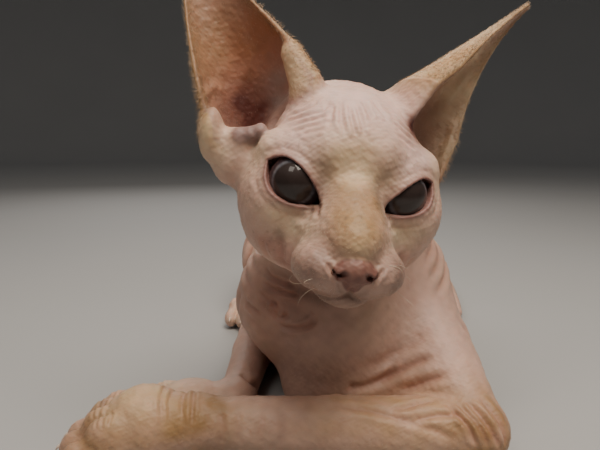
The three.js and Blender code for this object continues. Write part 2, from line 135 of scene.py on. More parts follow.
class Form(Protocol):
    """A solid told by its signed distance."""

    def distance(self, p: Array) -> Array:
        """Negative inside the form, zero on it."""

    @cached_property
    def box(self) -> tuple[Array, Array]:
        """Its lowest and highest corner in the world."""


@dataclass(frozen=True)
class Ball:
    """An ellipsoid in a place, or a pair of them either side of its middle."""

    at: Triple
    radii: Triple
    place: Place = WORLD
    paired: bool = False

    def distance(self, p: Array) -> Array:
        """Close to the true distance near its surface.

        Args:
            p: world points.

        Returns:
            One signed distance for each point.
        """
        q = self.place.into(p)
        if self.paired:
            q[:, 0] = np.abs(q[:, 0])
        q = (q - self.at) / self.radii
        reach = np.linalg.norm(q, axis=1)
        slope = np.linalg.norm(q / self.radii, axis=1)
        return reach * (reach - 1) / np.maximum(slope, 1e-9)

    @cached_property
    def box(self) -> tuple[Array, Array]:
        """A cube round it, or round the pair.

        Returns:
            Its lowest and highest corner.
        """
        spots = [self.place.out(self.at)]
        if self.paired:
            spots.append(self.place.out((-self.at[0], *self.at[1:])))
        return np.min(spots, 0) - max(self.radii), np.max(spots, 0) + max(self.radii)


@dataclass(frozen=True)
class Bone:
    """A cone with round ends between two joints, or a pair of them."""

    a: Triple
    b: Triple
    radii: tuple[float, float]
    place: Place = WORLD
    paired: bool = False

    def distance(self, p: Array) -> Array:
        """Distance to the axis, less the radius there.

        Args:
            p: world points.

        Returns:
            One signed distance for each point.
        """
        q = self.place.into(p)
        if self.paired:
            q[:, 0] = np.abs(q[:, 0])
        along = np.subtract(self.b, self.a)
        share = np.clip((q - self.a) @ along / (along @ along), 0, 1)
        return np.linalg.norm(q - self.a - share[:, None] * along, axis=1) - mix(*self.radii, share)

    @cached_property
    def box(self) -> tuple[Array, Array]:
        """A box round both ends.

        Returns:
            Its lowest and highest corner.
        """
        ends = [self.place.out(self.a), self.place.out(self.b)]
        if self.paired:
            ends += [self.place.out((-e[0], e[1], e[2])) for e in (self.a, self.b)]
        return np.min(ends, 0) - max(self.radii), np.max(ends, 0) + max(self.radii)


class Join(Enum):
    """How a form meets the ones before it."""

    ADD = "add"
    CARVE = "carve"


@dataclass(frozen=True)
class Step:
    """A form, how wide it melts into what is there, and whether it adds or takes away."""

    form: Form
    melt: float = 1.0
    join: Join = Join.ADD


@dataclass(frozen=True)
class Flesh:
    """Forms joined one after another."""

    steps: tuple[Step, ...]

    def distance(self, p: Array) -> Array:
        """The joined field.

        Args:
            p: world points.

        Returns:
            One signed distance for each point.
        """
        d = np.full(len(p), FAR)
        for step in self.steps:
            joined = melt_in if step.join is Join.ADD else carve_out
            d = joined(d, step.form.distance(p), step.melt)
        return d

    def near(self, low: Array, high: Array, reach: float) -> "Flesh":
        """The forms that matter within a box, and some way round it.

        Args:
            low: the box's lowest corner.
            high: its highest corner.
            reach: how far outside it a form still matters.

        Returns:
            Flesh of those forms alone.
        """
        kept = []
        for step in self.steps:
            a, b = step.form.box
            if np.any(a - reach - step.melt > high) or np.any(b + reach + step.melt < low):
                continue
            if isinstance(step.form, Flesh):
                step = Step(step.form.near(low, high, reach + step.melt), step.melt, step.join)
            kept.append(step)
        return Flesh(tuple(kept))

    @cached_property
    def box(self) -> tuple[Array, Array]:
        """A box round all that is added."""
        boxes = [step.form.box for step in self.steps if step.join is Join.ADD]
        return np.min([b[0] for b in boxes], 0), np.max([b[1] for b in boxes], 0)


def slope_of(flesh: Flesh, p: Array, step: float = 0.08) -> tuple[Array, Array]:
    """The field at points, and its gradient from four of its values near each.

    Args:
        flesh: the flesh.
        p: world points.
        step: how far off its values are taken.

    Returns:
        One value and one gradient for each point.
    """
    ways = np.array(((1, -1, -1), (-1, -1, 1), (-1, 1, -1), (1, 1, 1)), float)
    values = flesh.distance((p[None] + ways[:, None] * step).reshape(-1, 3)).reshape(4, -1)
    return values.mean(0), np.einsum("ni,nk->ik", values, ways) / (4 * step)


def laid(flesh: Flesh, p: Array, rounds: int = 8) -> Array:
    """Points moved onto the surface of some flesh.

    Args:
        flesh: the flesh.
        p: points near that surface.
        rounds: how often each is moved.

    Returns:
        The moved points.
    """
    for _ in range(rounds):
        value, gradient = slope_of(flesh, p)
        p = p - gradient * np.clip(value / np.maximum((gradient**2).sum(1), 0.15), -1.5, 1.5)[:, None]
    return p


# Eyes
EYE_AT = (17.8, 0.0, 0.0)
EYE_RADIUS = 10.4


class Side(Enum):
    """The cat's right or left, as the sign of its x."""

    RIGHT = -1
    LEFT = 1

    @property
    def word(self) -> str:
        """The side's name in a piece's name."""
        return self.name.lower()


def eye_place(side: Side, slant: float = 0.0) -> Place:
    """The frame of an eye: outwards along the lids, ahead and upwards.

    Args:
        side: which eye.
        slant: degrees by which the outer corner of the lids stands higher.

    Returns:
        A place whose first axis points outwards, second ahead, third upwards.
    """
    out, up, lean = math.radians(17), math.radians(3), math.radians(slant)
    ahead = unit(HEAD.way((math.sin(out) * side.value, -math.cos(out), math.sin(up))))
    upward = unit(HEAD.axes[2] - ahead * (HEAD.axes[2] @ ahead))
    outward = np.cross(upward, ahead) * side.value
    x = outward * math.cos(lean) + upward * math.sin(lean)
    z = upward * math.cos(lean) - outward * math.sin(lean)
    return Place(HEAD.out((EYE_AT[0] * side.value, *EYE_AT[1:])), np.array((x, ahead, z)))


def bezier(a: Point, b: Point, c: Point, d: Point, count: int) -> Array:
    """Points along a cubic curve, without its last one.

    Args:
        a: its start.
        b: what it leaves towards.
        c: what it arrives from.
        d: its end.
        count: how many points come back.

    Returns:
        One row for each point.
    """
    t = np.linspace(0, 1, count, endpoint=False)[:, None]
    a, b, c, d = (np.asarray(x, float) for x in (a, b, c, d))
    return a * (1 - t) ** 3 + 3 * b * t * (1 - t) ** 2 + 3 * c * t * t * (1 - t) + d * t**3


@dataclass(frozen=True)
class LidOpening:
    """The almond between the lids of one eye, carved as far in as the eyeball."""

    side: Side
    inner: float
    outer: float
    upper: float
    lower: float
    slant: float = 29.0
    floor: float = 10.0  # the hole ends at this distance from the middle of the eyeball
    reach: float = 26.0
    tick: float = 0.12

    @cached_property
    def place(self) -> Place:
        """Its own frame."""
        return eye_place(self.side, self.slant)

    @cached_property
    def outline(self) -> Array:
        """The almond from the inner corner over the top and back.

        Returns:
            Its corners.
        """
        inner, outer, upper, lower = self.inner, self.outer, self.upper, self.lower
        top = bezier((-inner, 0), (-inner * 0.5, upper * 0.9), (outer * 0.6, upper * 1.75), (outer, 0), 16)
        base = bezier((outer, 0), (outer * 0.62, -lower * 1.4), (-inner * 0.3, -lower * 1.3), (-inner, 0), 16)
        return np.vstack((top, base))

    def outside(self, flat: Array) -> Array:
        """How far flat points lie outside the almond.

        Args:
            flat: points across and up the lids' frame.

        Returns:
            One distance for each, negative within.
        """
        a = self.outline
        b = np.roll(a, -1, 0)
        along = b - a
        away = flat[:, None, :] - a
        share = np.clip((away * along).sum(2) / (along * along).sum(1), 0, 1)
        near = np.linalg.norm(away - share[..., None] * along, axis=2).min(1)
        left = along[:, 0] * away[..., 1] - along[:, 1] * away[..., 0]
        rising = (a[:, 1] <= flat[:, 1:2]) & (b[:, 1] > flat[:, 1:2]) & (left > 0)
        falling = (a[:, 1] > flat[:, 1:2]) & (b[:, 1] <= flat[:, 1:2]) & (left < 0)
        return np.where(rising.sum(1) != falling.sum(1), -near, near)

    @cached_property
    def table(self) -> Array:
        """The same on a square of fine steps, which is quicker to look up.

        Returns:
            One row for each step across.
        """
        ticks = np.arange(-self.reach, self.reach + self.tick, self.tick)
        flat = np.stack(np.meshgrid(ticks, ticks, indexing="ij"), -1)
        return self.outside(flat.reshape(-1, 2)).reshape(len(ticks), -1)

    def edge(self, p: Array) -> tuple[Array, Array]:
        """How far points lie outside the almond, seen along the gaze, and how far ahead they are.

        Args:
            p: world points.

        Returns:
            Both for each point.
        """
        q = self.place.into(p)
        table = self.table
        spot = np.clip((q[:, (0, 2)] + self.reach) / self.tick, 0, len(table) - 1.001)
        low = spot.astype(int)
        (i, j), (u, v) = low.T, (spot - low).T
        near = mix(mix(table[i, j], table[i + 1, j], u), mix(table[i, j + 1], table[i + 1, j + 1], u), v)
        return near, q[:, 1]

    def distance(self, p: Array) -> Array:
        """The carved hole.

        Args:
            p: world points.

        Returns:
            One signed distance for each point.
        """
        edge, ahead = self.edge(p)
        depth = np.linalg.norm(p - self.place.at, axis=1)
        return np.maximum(np.maximum(edge, self.floor - depth), -ahead)

    @cached_property
    def box(self) -> tuple[Array, Array]:
        """A cube in front of the eye."""
        middle = self.place.out((0, 10, 0))
        return middle - 16, middle + 16


OPENINGS = {
    Side.RIGHT: LidOpening(Side.RIGHT, inner=11.8, outer=11.8, upper=6.0, lower=6.6),
    Side.LEFT: LidOpening(Side.LEFT, inner=11.4, outer=11.2, upper=4.8, lower=5.6),
}


@dataclass(frozen=True)
class EarEdge:
    """How the outer or the inner half of an ear narrows.

    It opens by some degrees more or less at its root, and tapers to the tip by a power.
    """

    change: float
    slimming: float
    span: float = 118.0  # degrees from the middle of the cup


@dataclass(frozen=True)
class Ear:
    """An ear: a thin leaf rolled into a cup that leans outwards and back and faces a way, in degrees."""

    side: Side
    lean: float
    back: float
    face: float
    root: Triple
    radii: tuple[float, float]
    outer: EarEdge
    inner: EarEdge
    height: float = 80.0
    root_height: float = 0.24
    slope: float = 0.16
    thick: tuple[float, float] = (3.0, 1.3)

    @cached_property
    def place(self) -> Place:
        """Inwards over the skull, out of the cup and up to the tip.

        Returns:
            The frame.
        """
        lean, back, face = (math.radians(x) for x in (self.lean, self.back, self.face))
        tilt = Matrix.Rotation(self.side.value * lean, 3, "Y") @ Matrix.Rotation(-back, 3, "X")
        up = np.array(tilt)[:, 2]
        ahead = np.array((math.sin(face) * self.side.value, -math.cos(face), 0))
        ahead = unit(ahead - up * (ahead @ up))
        inward = np.cross(up, ahead) * -self.side.value
        root = (self.root[0] * self.side.value, *self.root[1:])
        return Place(HEAD.out(root), HEAD.way(np.array((inward, ahead, up))))

    def chart(self, p: Array) -> tuple[Array, Array, Array, Array]:
        """Where points lie on the leaf.

        Args:
            p: world points.

        Returns:
            Height from root 0 to tip 1, angle round the cup, distance outside the outer face, and
            the half angle there.
        """
        q = self.place.into(p)
        t = q[:, 2] / self.height
        for _ in range(3):
            t = (q[:, 2] - self.slope * q[:, 0] * (1 - np.clip(t, 0, 1)) ** 2) / self.height
        up = np.clip(t, 0, 1)
        radius = np.where(t < 0, self.radii[0] * (1 + 1.6 * np.maximum(t, -0.3)), mix(*self.radii, up**0.9))
        forward = radius * 0.25 - q[:, 1]
        angle = np.arctan2(q[:, 0], forward)
        low = np.maximum(1 - up / self.root_height, 0)
        spans = [e.span * (1 - up) ** e.slimming + e.change * low + 3 for e in (self.outer, self.inner)]
        half = np.radians(np.where(angle < 0, *spans))
        return t, angle, np.hypot(q[:, 0], forward) - radius, half

    def thickness(self, t: Array) -> Array:
        """From its root up to its rim."""
        return mix(*self.thick, np.clip(t * 2, 0, 1))

    def distance(self, p: Array) -> Array:
        """A bent sheet with a round rim.

        Args:
            p: world points.

        Returns:
            One signed distance for each point.
        """
        t, angle, outside, half = self.chart(p)
        thick = self.thickness(t)
        across = np.abs(outside + thick / 2)
        radius = np.maximum(mix(*self.radii, np.clip(t, 0, 1)) - thick / 2, 1)
        beyond = np.maximum(np.abs(angle) - half, 0)
        chord = 2 * radius * np.sin(np.minimum(beyond, math.pi) / 2)
        past_tip = np.maximum(t - 1, 0) * self.height
        past_root = np.maximum(-0.14 - t, 0) * self.height
        return np.sqrt(across**2 + chord**2 + past_tip**2 + past_root**2) - thick / 2

    @cached_property
    def box(self) -> tuple[Array, Array]:
        """A box round its root and tip."""
        ends = np.array((self.place.at, self.place.out((0, 0, self.height))))
        return ends.min(0) - 28, ends.max(0) + 28


EARS = {
    Side.RIGHT: Ear(Side.RIGHT, 31, 10, 12, (31, 26, 20), (24, 8), EarEdge(-20, 0.52), EarEdge(-28, 1.4)),
    Side.LEFT: Ear(Side.LEFT, 42, 22, 72, (30, 26, 22), (26, 7), EarEdge(-14, 0.8), EarEdge(-6, 0.3, 78)),
}


def pair(at: Triple, radii: Triple, melt: float = 1.0) -> Step:
    """A pair of ellipsoids of the head."""
    return Step(Ball(at, radii, HEAD, paired=True), melt)


def bone_pair(a: Point, b: Point, radii: tuple[float, float], melt: float = 1.0) -> Step:
    """A pair of round cones of the head."""
    return Step(Bone(tuple(a), tuple(b), radii, HEAD, paired=True), melt)


def head_ball(at: Triple, radii: Triple, melt: float = 1.0) -> Step:
    """One ellipsoid of the head."""
    return Step(Ball(at, radii, HEAD), melt)


# The bare nose: its front, the wedge below, and the wing round each nostril
NOSE = Flesh(
    (
        head_ball((0, -31.7, -19.4), (5.9, 5.6, 4.7)),
        head_ball((0, -31.0, -23.4), (3.3, 3.2, 3.3), 2),
        pair((4.5, -32.2, -20.2), (2.3, 3.6, 2.6), 1),
    )
)
NOSTRILS = Flesh(
    (
        bone_pair((3.0, -38.4, -19.4), (4.9, -33.6, -21.0), (0.75, 0.65)),
        bone_pair((4.9, -35.4, -20.9), (7.1, -31.8, -19.8), (0.55, 0.35), 0.5),
    )
)
MOUTH = (
    (0, -31, -28.3),
    (2.6, -30.4, -29.5),
    (6, -28, -31),
    (9, -23.5, -32.5),
    (13, -16.5, -31.8),
    (17, -9, -29.5),
)
PHILTRUM = ((0, -34.6, -25.2), (0, -33, -27), (0, -31, -28.6))


def furrow(flesh: Flesh, line: Sequence[Point], radius: float) -> Flesh:
    """A furrow on both sides of the head, laid on some flesh."""
    route = HEAD.into(laid(flesh, HEAD.out(smooth_line(line, 6 * len(line)))))
    return Flesh(tuple(bone_pair(a, b, (radius, radius), 0.3) for a, b in zip(route[:-1], route[1:])))


# The face without its ears, its lids and lips closed
FACE = Flesh(
    (
        pair((0, 34, 8), (31, 37, 28.5)),
        pair((0, 12, 12), (23, 22, 18), 10),
        bone_pair((9, -4, 11), (27, 6, 10), (5, 5.5), 8),
        pair((25, 12, -7), (13.2, 20, 14), 10),
        pair((19.5, 14, -19), (14, 20, 13), 10),
        pair((0, -8, -15), (16, 22, 14), 8),
        bone_pair((0, -1.5, 0.5), (0, -27, -12), (9.8, 7.6), 6),
        pair((8.5, -22, -22), (10, 12, 8.2), 3.5),
        bone_pair((3, -16, -28), (21, 18, -22), (7, 10), 8),
        pair((0, -21.5, -29.5), (8, 8.5, 6), 4),
        pair((4.6, -27.3, -25.2), (5.4, 5.4, 4.6), 2.4),
        Step(NOSE, 1.3),
        pair(EYE_AT, (EYE_RADIUS + 1.2,) * 3, 4),
    )
)


def skull() -> Flesh:
    """The face with its mouth and nostrils."""
    carved = (furrow(FACE, MOUTH, 0.6), furrow(FACE, PHILTRUM, 0.45), NOSTRILS)
    return Flesh((Step(FACE), *(Step(form, 1.1, Join.CARVE) for form in carved)))


def torso() -> Flesh:
    """Chest, belly, hips, shoulders and neck.

    Returns:
        Their forms.
    """
    shoulders = (((-33, 14, 54), (19, 26, 30)), ((32, 20, 58), (19, 26, 32)))
    return Flesh(
        (
            Step(Ball((0, 42, 51), (42.8, 64, 53))),
            Step(Ball((0, 8, 35), (36, 32, 38)), 14),
            Step(Ball((0, 116, 51), (46.9, 80, 53)), 24),
            Step(Ball((0, 184, 54), (36.8, 58, 54.6)), 26),
            *(Step(Ball(at, radii), 10) for at, radii in shoulders),
            Step(Bone(tuple(HEAD.out((0, 34, -5))), (0, 22, 62), (27, 35)), 14),
        )
    )


@dataclass(frozen=True)
class Paw:
    """A paw in its own frame: the wrist or ankle at the origin, toes towards -Y, pads on the floor."""

    place: Place
    heel: tuple[Triple, Triple]
    palm: tuple[Triple, Triple]
    palm_melt: float
    spread: float
    knuckle: tuple[float, float]
    tip: tuple[float, float]
    swell: Triple
    end: Triple
    girth: Triple = (1, 1, 1)
    toes: int = 4

    def toe(self, number: int) -> tuple[float, float]:
        """How far a toe lies across, and how much further it reaches."""
        place = 2 * number / (self.toes - 1) - 1
        return place * (self.toes - 1) * self.spread * 0.5, 3.5 * (1 - place**2)

    def distance(self, p: Array) -> Array:
        """Heel, palm and four toes, each with its knuckle and its end.

        Args:
            p: world points.

        Returns:
            One signed distance for each point.
        """
        q = self.place.into(p) / self.girth
        d = melt_in(Ball(*self.heel).distance(q), Ball(*self.palm).distance(q), self.palm_melt)
        toes = np.full(len(p), FAR)
        for number in range(self.toes):
            across, reach = self.toe(number)
            high = Ball((across, self.knuckle[0] - reach, self.knuckle[1]), self.swell).distance(q)
            low = Ball((across * 1.15, self.tip[0] - reach, self.tip[1]), self.end).distance(q)
            toes = melt_in(toes, melt_in(high, low, 3), 0.8)
        return melt_in(d, toes, 3.2) * min(self.girth)

    @cached_property
    def box(self) -> tuple[Array, Array]:
        """A cube round it."""
        middle = self.place.out((0, -18, 10))
        return middle - 40, middle + 40


def front_paw(wrist: Point, heading: float, girth: Triple) -> Paw:
    """A front paw under its wrist.

    Args:
        wrist: where its foreleg ends.
        heading: which way it points, in degrees.
        girth: how wide, long and high it is against a plain paw.

    Returns:
        The paw.
    """
    return Paw(
        Place.turned((wrist[0], wrist[1], 0), yaw=-heading),
        heel=((0, -5, 12), (10.5, 11, 10.5)),
        palm=((0, -21, 13), (13.5, 16, 13.5)),
        palm_melt=5,
        spread=6.8,
        knuckle=(-33, 12.5),
        tip=(-43, 6.6),
        swell=(5, 8.5, 8.3),
        end=(4.6, 7, 6.8),
        girth=girth,
    )


def hind_paw(side: Side) -> Paw:
    """A hind paw, flat on the floor.

    Args:
        side: which side.

    Returns:
        The paw.
    """
    return Paw(
        Place.turned((57 * side.value, 148, 0), yaw=side.value * 3),
        heel=((0, 14, 12), (10, 16, 10)),
        palm=((0, -10, 11), (13.5, 18, 10.5)),
        palm_melt=6,
        spread=7,
        knuckle=(-26, 11),
        tip=(-36, 7),
        swell=(5, 8.5, 7.2),
        end=(4.6, 7, 6),
    )


@dataclass(frozen=True)
class Foreleg:
    """A foreleg: upper arm from the shoulder down to the elbow, forearm along the floor, and the paw."""

    shoulder: Triple
    elbow: Triple
    wrist: Triple
    radii: tuple[float, float, float, float]
    heading: float
    girth: Triple

    @cached_property
    def paw(self) -> Paw:
        """Its paw."""
        return front_paw(self.wrist, self.heading, self.girth)

    def arm(self) -> Flesh:
        """Upper arm and elbow."""
        shoulder, elbow, _, _ = self.radii
        return Flesh((Step(Bone(self.shoulder, self.elbow, (shoulder, elbow * 0.93))),))

    def forearm(self) -> Flesh:
        """Forearm, wrist and paw.

        Returns:
            Their forms.
        """
        _, elbow, middle, wrist = self.radii
        half = tuple(mix(np.array(self.elbow), np.array(self.wrist), 0.5))
        return Flesh(
            (
                Step(Bone(self.elbow, half, (elbow, middle))),
                Step(Bone(half, self.wrist, (middle, wrist)), 3),
                Step(self.paw, 6),
            )
        )


FORELEGS = {
    Side.LEFT: Foreleg(
        shoulder=(32, 20, 56),
        elbow=(50, -42, 13.5),
        wrist=(-64, -41, 16.5),
        radii=(20, 14, 12, 10.5),
        heading=87,
        girth=(1.1, 1.08, 1.24),
    ),
    Side.RIGHT: Foreleg(
        shoulder=(-33, 14, 52),
        elbow=(-46, 92, 15),
        wrist=(-54, -7, 8.5),
        radii=(19, 14, 11, 8.3),
        heading=85,
        girth=(0.92, 1, 0.72),
    ),
}


def hind_leg(side: Side) -> Flesh:
    """Thigh, shank and long foot of one side.

    Args:
        side: which side.

    Returns:
        Its forms.
    """
    s = side.value
    hip, knee, hock, toes = (34 * s, 196, 62), (45 * s, 138, 45), (51 * s, 232, 13), (57 * s, 148, 11)
    along = unit(np.subtract(knee, hip))
    sideways = unit(np.cross(along, (0, 0, 1)))
    middle = mix(np.array(hip, float), np.array(knee, float), 0.5)
    thigh = Place(middle, np.array((sideways, along, np.cross(sideways, along))))
    middle = tuple(mix(np.array(knee, float), np.array(hock, float), 0.5))
    return Flesh(
        (
            Step(Ball((0, 0, 0), (19, 50, 38), thigh)),
            Step(Bone(knee, middle, (20, 16)), 8),
            Step(Bone(middle, hock, (16, 11)), 8),
            Step(Bone(hock, toes, (11.5, 11)), 4),
            Step(hind_paw(side), 6),
        )
    )


def smooth_line(points: Sequence[Point], count: int) -> Array:
    """Points along a smooth curve through some points, its knots spaced by the root of their distances.

    Args:
        points: the points it passes through.
        count: how many points come back.

    Returns:
        The curve's points, the parameter running evenly from knot to knot.
    """
    p = np.asarray(points, float)
    p = np.vstack((2 * p[0] - p[1], p, 2 * p[-1] - p[-2]))
    gaps = np.maximum(np.linalg.norm(np.diff(p, axis=0), axis=1) ** 0.5, 1e-4)
    spots = np.linspace(0, len(p) - 3, count)
    first = np.minimum(spots.astype(int), len(p) - 4)
    t = (spots - first)[:, None]
    a, b, c, d = (p[first + i] for i in range(4))
    g0, g1, g2 = (gaps[first + i][:, None] for i in range(3))
    leave = ((b - a) / g0 - (c - a) / (g0 + g1) + (c - b) / g1) * g1
    meet = ((c - b) / g1 - (d - b) / (g1 + g2) + (d - c) / g2) * g1
    cube = 2 * b - 2 * c + leave + meet
    square = -3 * b + 3 * c - 2 * leave - meet
    return cube * t**3 + square * t**2 + leave * t + b


TAIL_ROUTE = (
    (0, 226, 50),
    (3, 254, 30),
    (24, 276, 12),
    (62, 279, 8.6),
    (91, 252, 7.2),
    (101, 208, 5.9),
    (97, 163, 4.7),
    (92, 130, 3.8),
)


def tail() -> Flesh:
    """It leaves the rump, drops to the floor and curls forward round the left flank.

    Returns:
        Its forms.
    """
    share = np.linspace(0, 0.984, 31)
    route = smooth_line(TAIL_ROUTE, 126)[np.round(share * 125).astype(int)]
    radii = mix(15, 4.4, share**0.7)
    bones = zip(route[:-1], route[1:], radii[:-1], radii[1:])
    return Flesh(tuple(Step(Bone(tuple(a), tuple(b), (ra, rb)), 0.5) for a, b, ra, rb in bones))


@dataclass(frozen=True)
class Floor:
    """The floor under the cat, taken out of the flesh."""

    level: float = 0.3

    def distance(self, p: Array) -> Array:
        """Height above its level."""
        return p[:, 2] - self.level

    @cached_property
    def box(self) -> tuple[Array, Array]:
        """Everywhere under its level."""
        return np.array((-FAR, -FAR, -FAR)), np.array((FAR, FAR, self.level + 3))


def ear_canal(ear: Ear) -> Ball:
    """The dark hollow at the bottom of an ear's cup."""
    return Ball((0.5, -1.5, 2), (8.5, 7.5, 13), ear.place)


# The furry roll where the right ear meets the crown, and the bare lumps in front of its hollow
EAR_ROLLS = (
    Step(Bone((-25, 21.5, 42), (-18.5, 18.5, 31), (3.4, 5.4), HEAD), 6),
    head_ball((-39.5, 10.5, 11.5), (3, 3.2, 3), 2),
    head_ball((-36, 9.6, 12.8), (2.8, 3.2, 3), 1.6),
    head_ball((-32.8, 9.2, 14.4), (2.6, 3.2, 2.8), 1.6),
    head_ball((-40, 16, 3), (9.5, 9, 11), 4),
    head_ball((-50.5, 15, 11), (4, 7, 9), 6),
)


# Loose skin of the breast, down to the forearm that lies across in front of it
BREAST_SKIN = (
    Step(Ball((8, -6, 14), (38, 22, 20)), 10),
    Step(Ball((33, -16, 20), (16, 16, 18)), 10),
)


def whole_cat() -> Flesh:
    """All of the flesh.

    Returns:
        All its forms.
    """
    head = [Step(skull(), 12)]
    head += [Step(ear, 5) for ear in EARS.values()]
    head += [Step(ear_canal(ear), 3, Join.CARVE) for ear in EARS.values()]
    head += EAR_ROLLS
    head += [Step(opening, 0.9, Join.CARVE) for opening in OPENINGS.values()]
    return Flesh(
        (
            Step(torso()),
            Step(hind_leg(Side.LEFT), 5),
            Step(hind_leg(Side.RIGHT), 5),
            Step(tail(), 8),
            *(Step(leg.arm(), 10) for leg in FORELEGS.values()),
            *BREAST_SKIN,
            *(Step(leg.forearm(), 2.5) for leg in FORELEGS.values()),
            *head,
            Step(Floor(), 2, Join.CARVE),
        )
    )


CAT = whole_cat()


def cells_of(points: Array, size: float) -> list[Array]:
    """The numbers of the points in each cell of space that has any.

    Args:
        points: the points.
        size: the side of a cell.

    Returns:
        One array of numbers for each cell.
    """
    cells = np.floor(points / size).astype(np.int64)
    key = (cells[:, 0] * 4096 + cells[:, 1]) * 4096 + cells[:, 2]
    order = np.argsort(key, kind="stable")
    starts = np.flatnonzero(np.diff(key[order], prepend=key[order[0]] - 1))
    return np.split(order, starts[1:])


def over_cells(
    points: Array, ask: Callable[[Flesh, Array], Array], size: float = 20.0, reach: float = REACH
) -> Array:
    """Asks a function about points one cell of space at a time, with only the forms near that cell.

    Args:
        points: the points.
        ask: is given the near forms and some points, and gives a row for each point.
        size: the side of a cell.
        reach: how far from a cell a form still matters.

    Returns:
        The rows in the order of the points.
    """
    rows = None
    for group in cells_of(points, size):
        some = points[group]
        answer = ask(CAT.near(some.min(0), some.max(0), reach), some)
        if rows is None:
            rows = np.zeros((len(points),) + answer.shape[1:], answer.dtype)
        rows[group] = answer
    return rows


@dataclass(frozen=True)
class Boxed:
    """Things that matter only within a box each, quick to pick out."""

    things: tuple
    low: Array
    high: Array

    @classmethod
    def of(cls, things: Sequence, boxes: Sequence[tuple[Array, Array]]) -> "Boxed":
        """Things and their boxes."""
        return cls(tuple(things), np.array([b[0] for b in boxes]), np.array([b[1] for b in boxes]))

    def touching(self, p: Array) -> list:
        """Those whose boxes touch the box round some points."""
        near = np.all((self.low < p.max(0)) & (self.high > p.min(0)), axis=1)
        return [self.things[n] for n in np.flatnonzero(near)]


def onto_skin(p: Array, rounds: int = 1) -> tuple[Array, Array]:
    """Points moved onto the surface of the flesh.

    Args:
        p: points near it.
        rounds: how often each is moved.

    Returns:
        The moved points and the outward directions there.
    """

    def settle(flesh: Flesh, q: Array) -> Array:
        """Position and normal of each point of one cell.

        Args:
            flesh: the flesh.
            q: points near it.

        Returns:
            Places and outward directions side by side.
        """
        for _ in range(rounds):
            value, gradient = slope_of(flesh, q)
            strength = np.maximum((gradient**2).sum(1), 0.15)
            q = q - gradient * np.clip(value / strength, -1.5, 1.5)[:, None]
        return np.hstack((q, unit(gradient)))

    rows = over_cells(p, settle)
    return rows[:, :3], rows[:, 3:]


@dataclass(frozen=True)
class Ruler:
    """Grid lines along one axis: (start, spacing) of each zone, and the end."""

    zones: tuple[tuple[float, float], ...]
    end: float

    def lines(self, coarse: float) -> Array:
        """The lines, their spacing times coarse, running gently from one zone's into the next.

        Args:
            coarse: what their spacing is multiplied by.

        Returns:
            Where each line is.
        """
        at = [self.zones[0][0]]
        starts, steps = zip(*self.zones)
        while at[-1] < self.end:
            at.append(at[-1] + coarse * float(np.interp(at[-1], starts, steps)))
        return np.array(at)


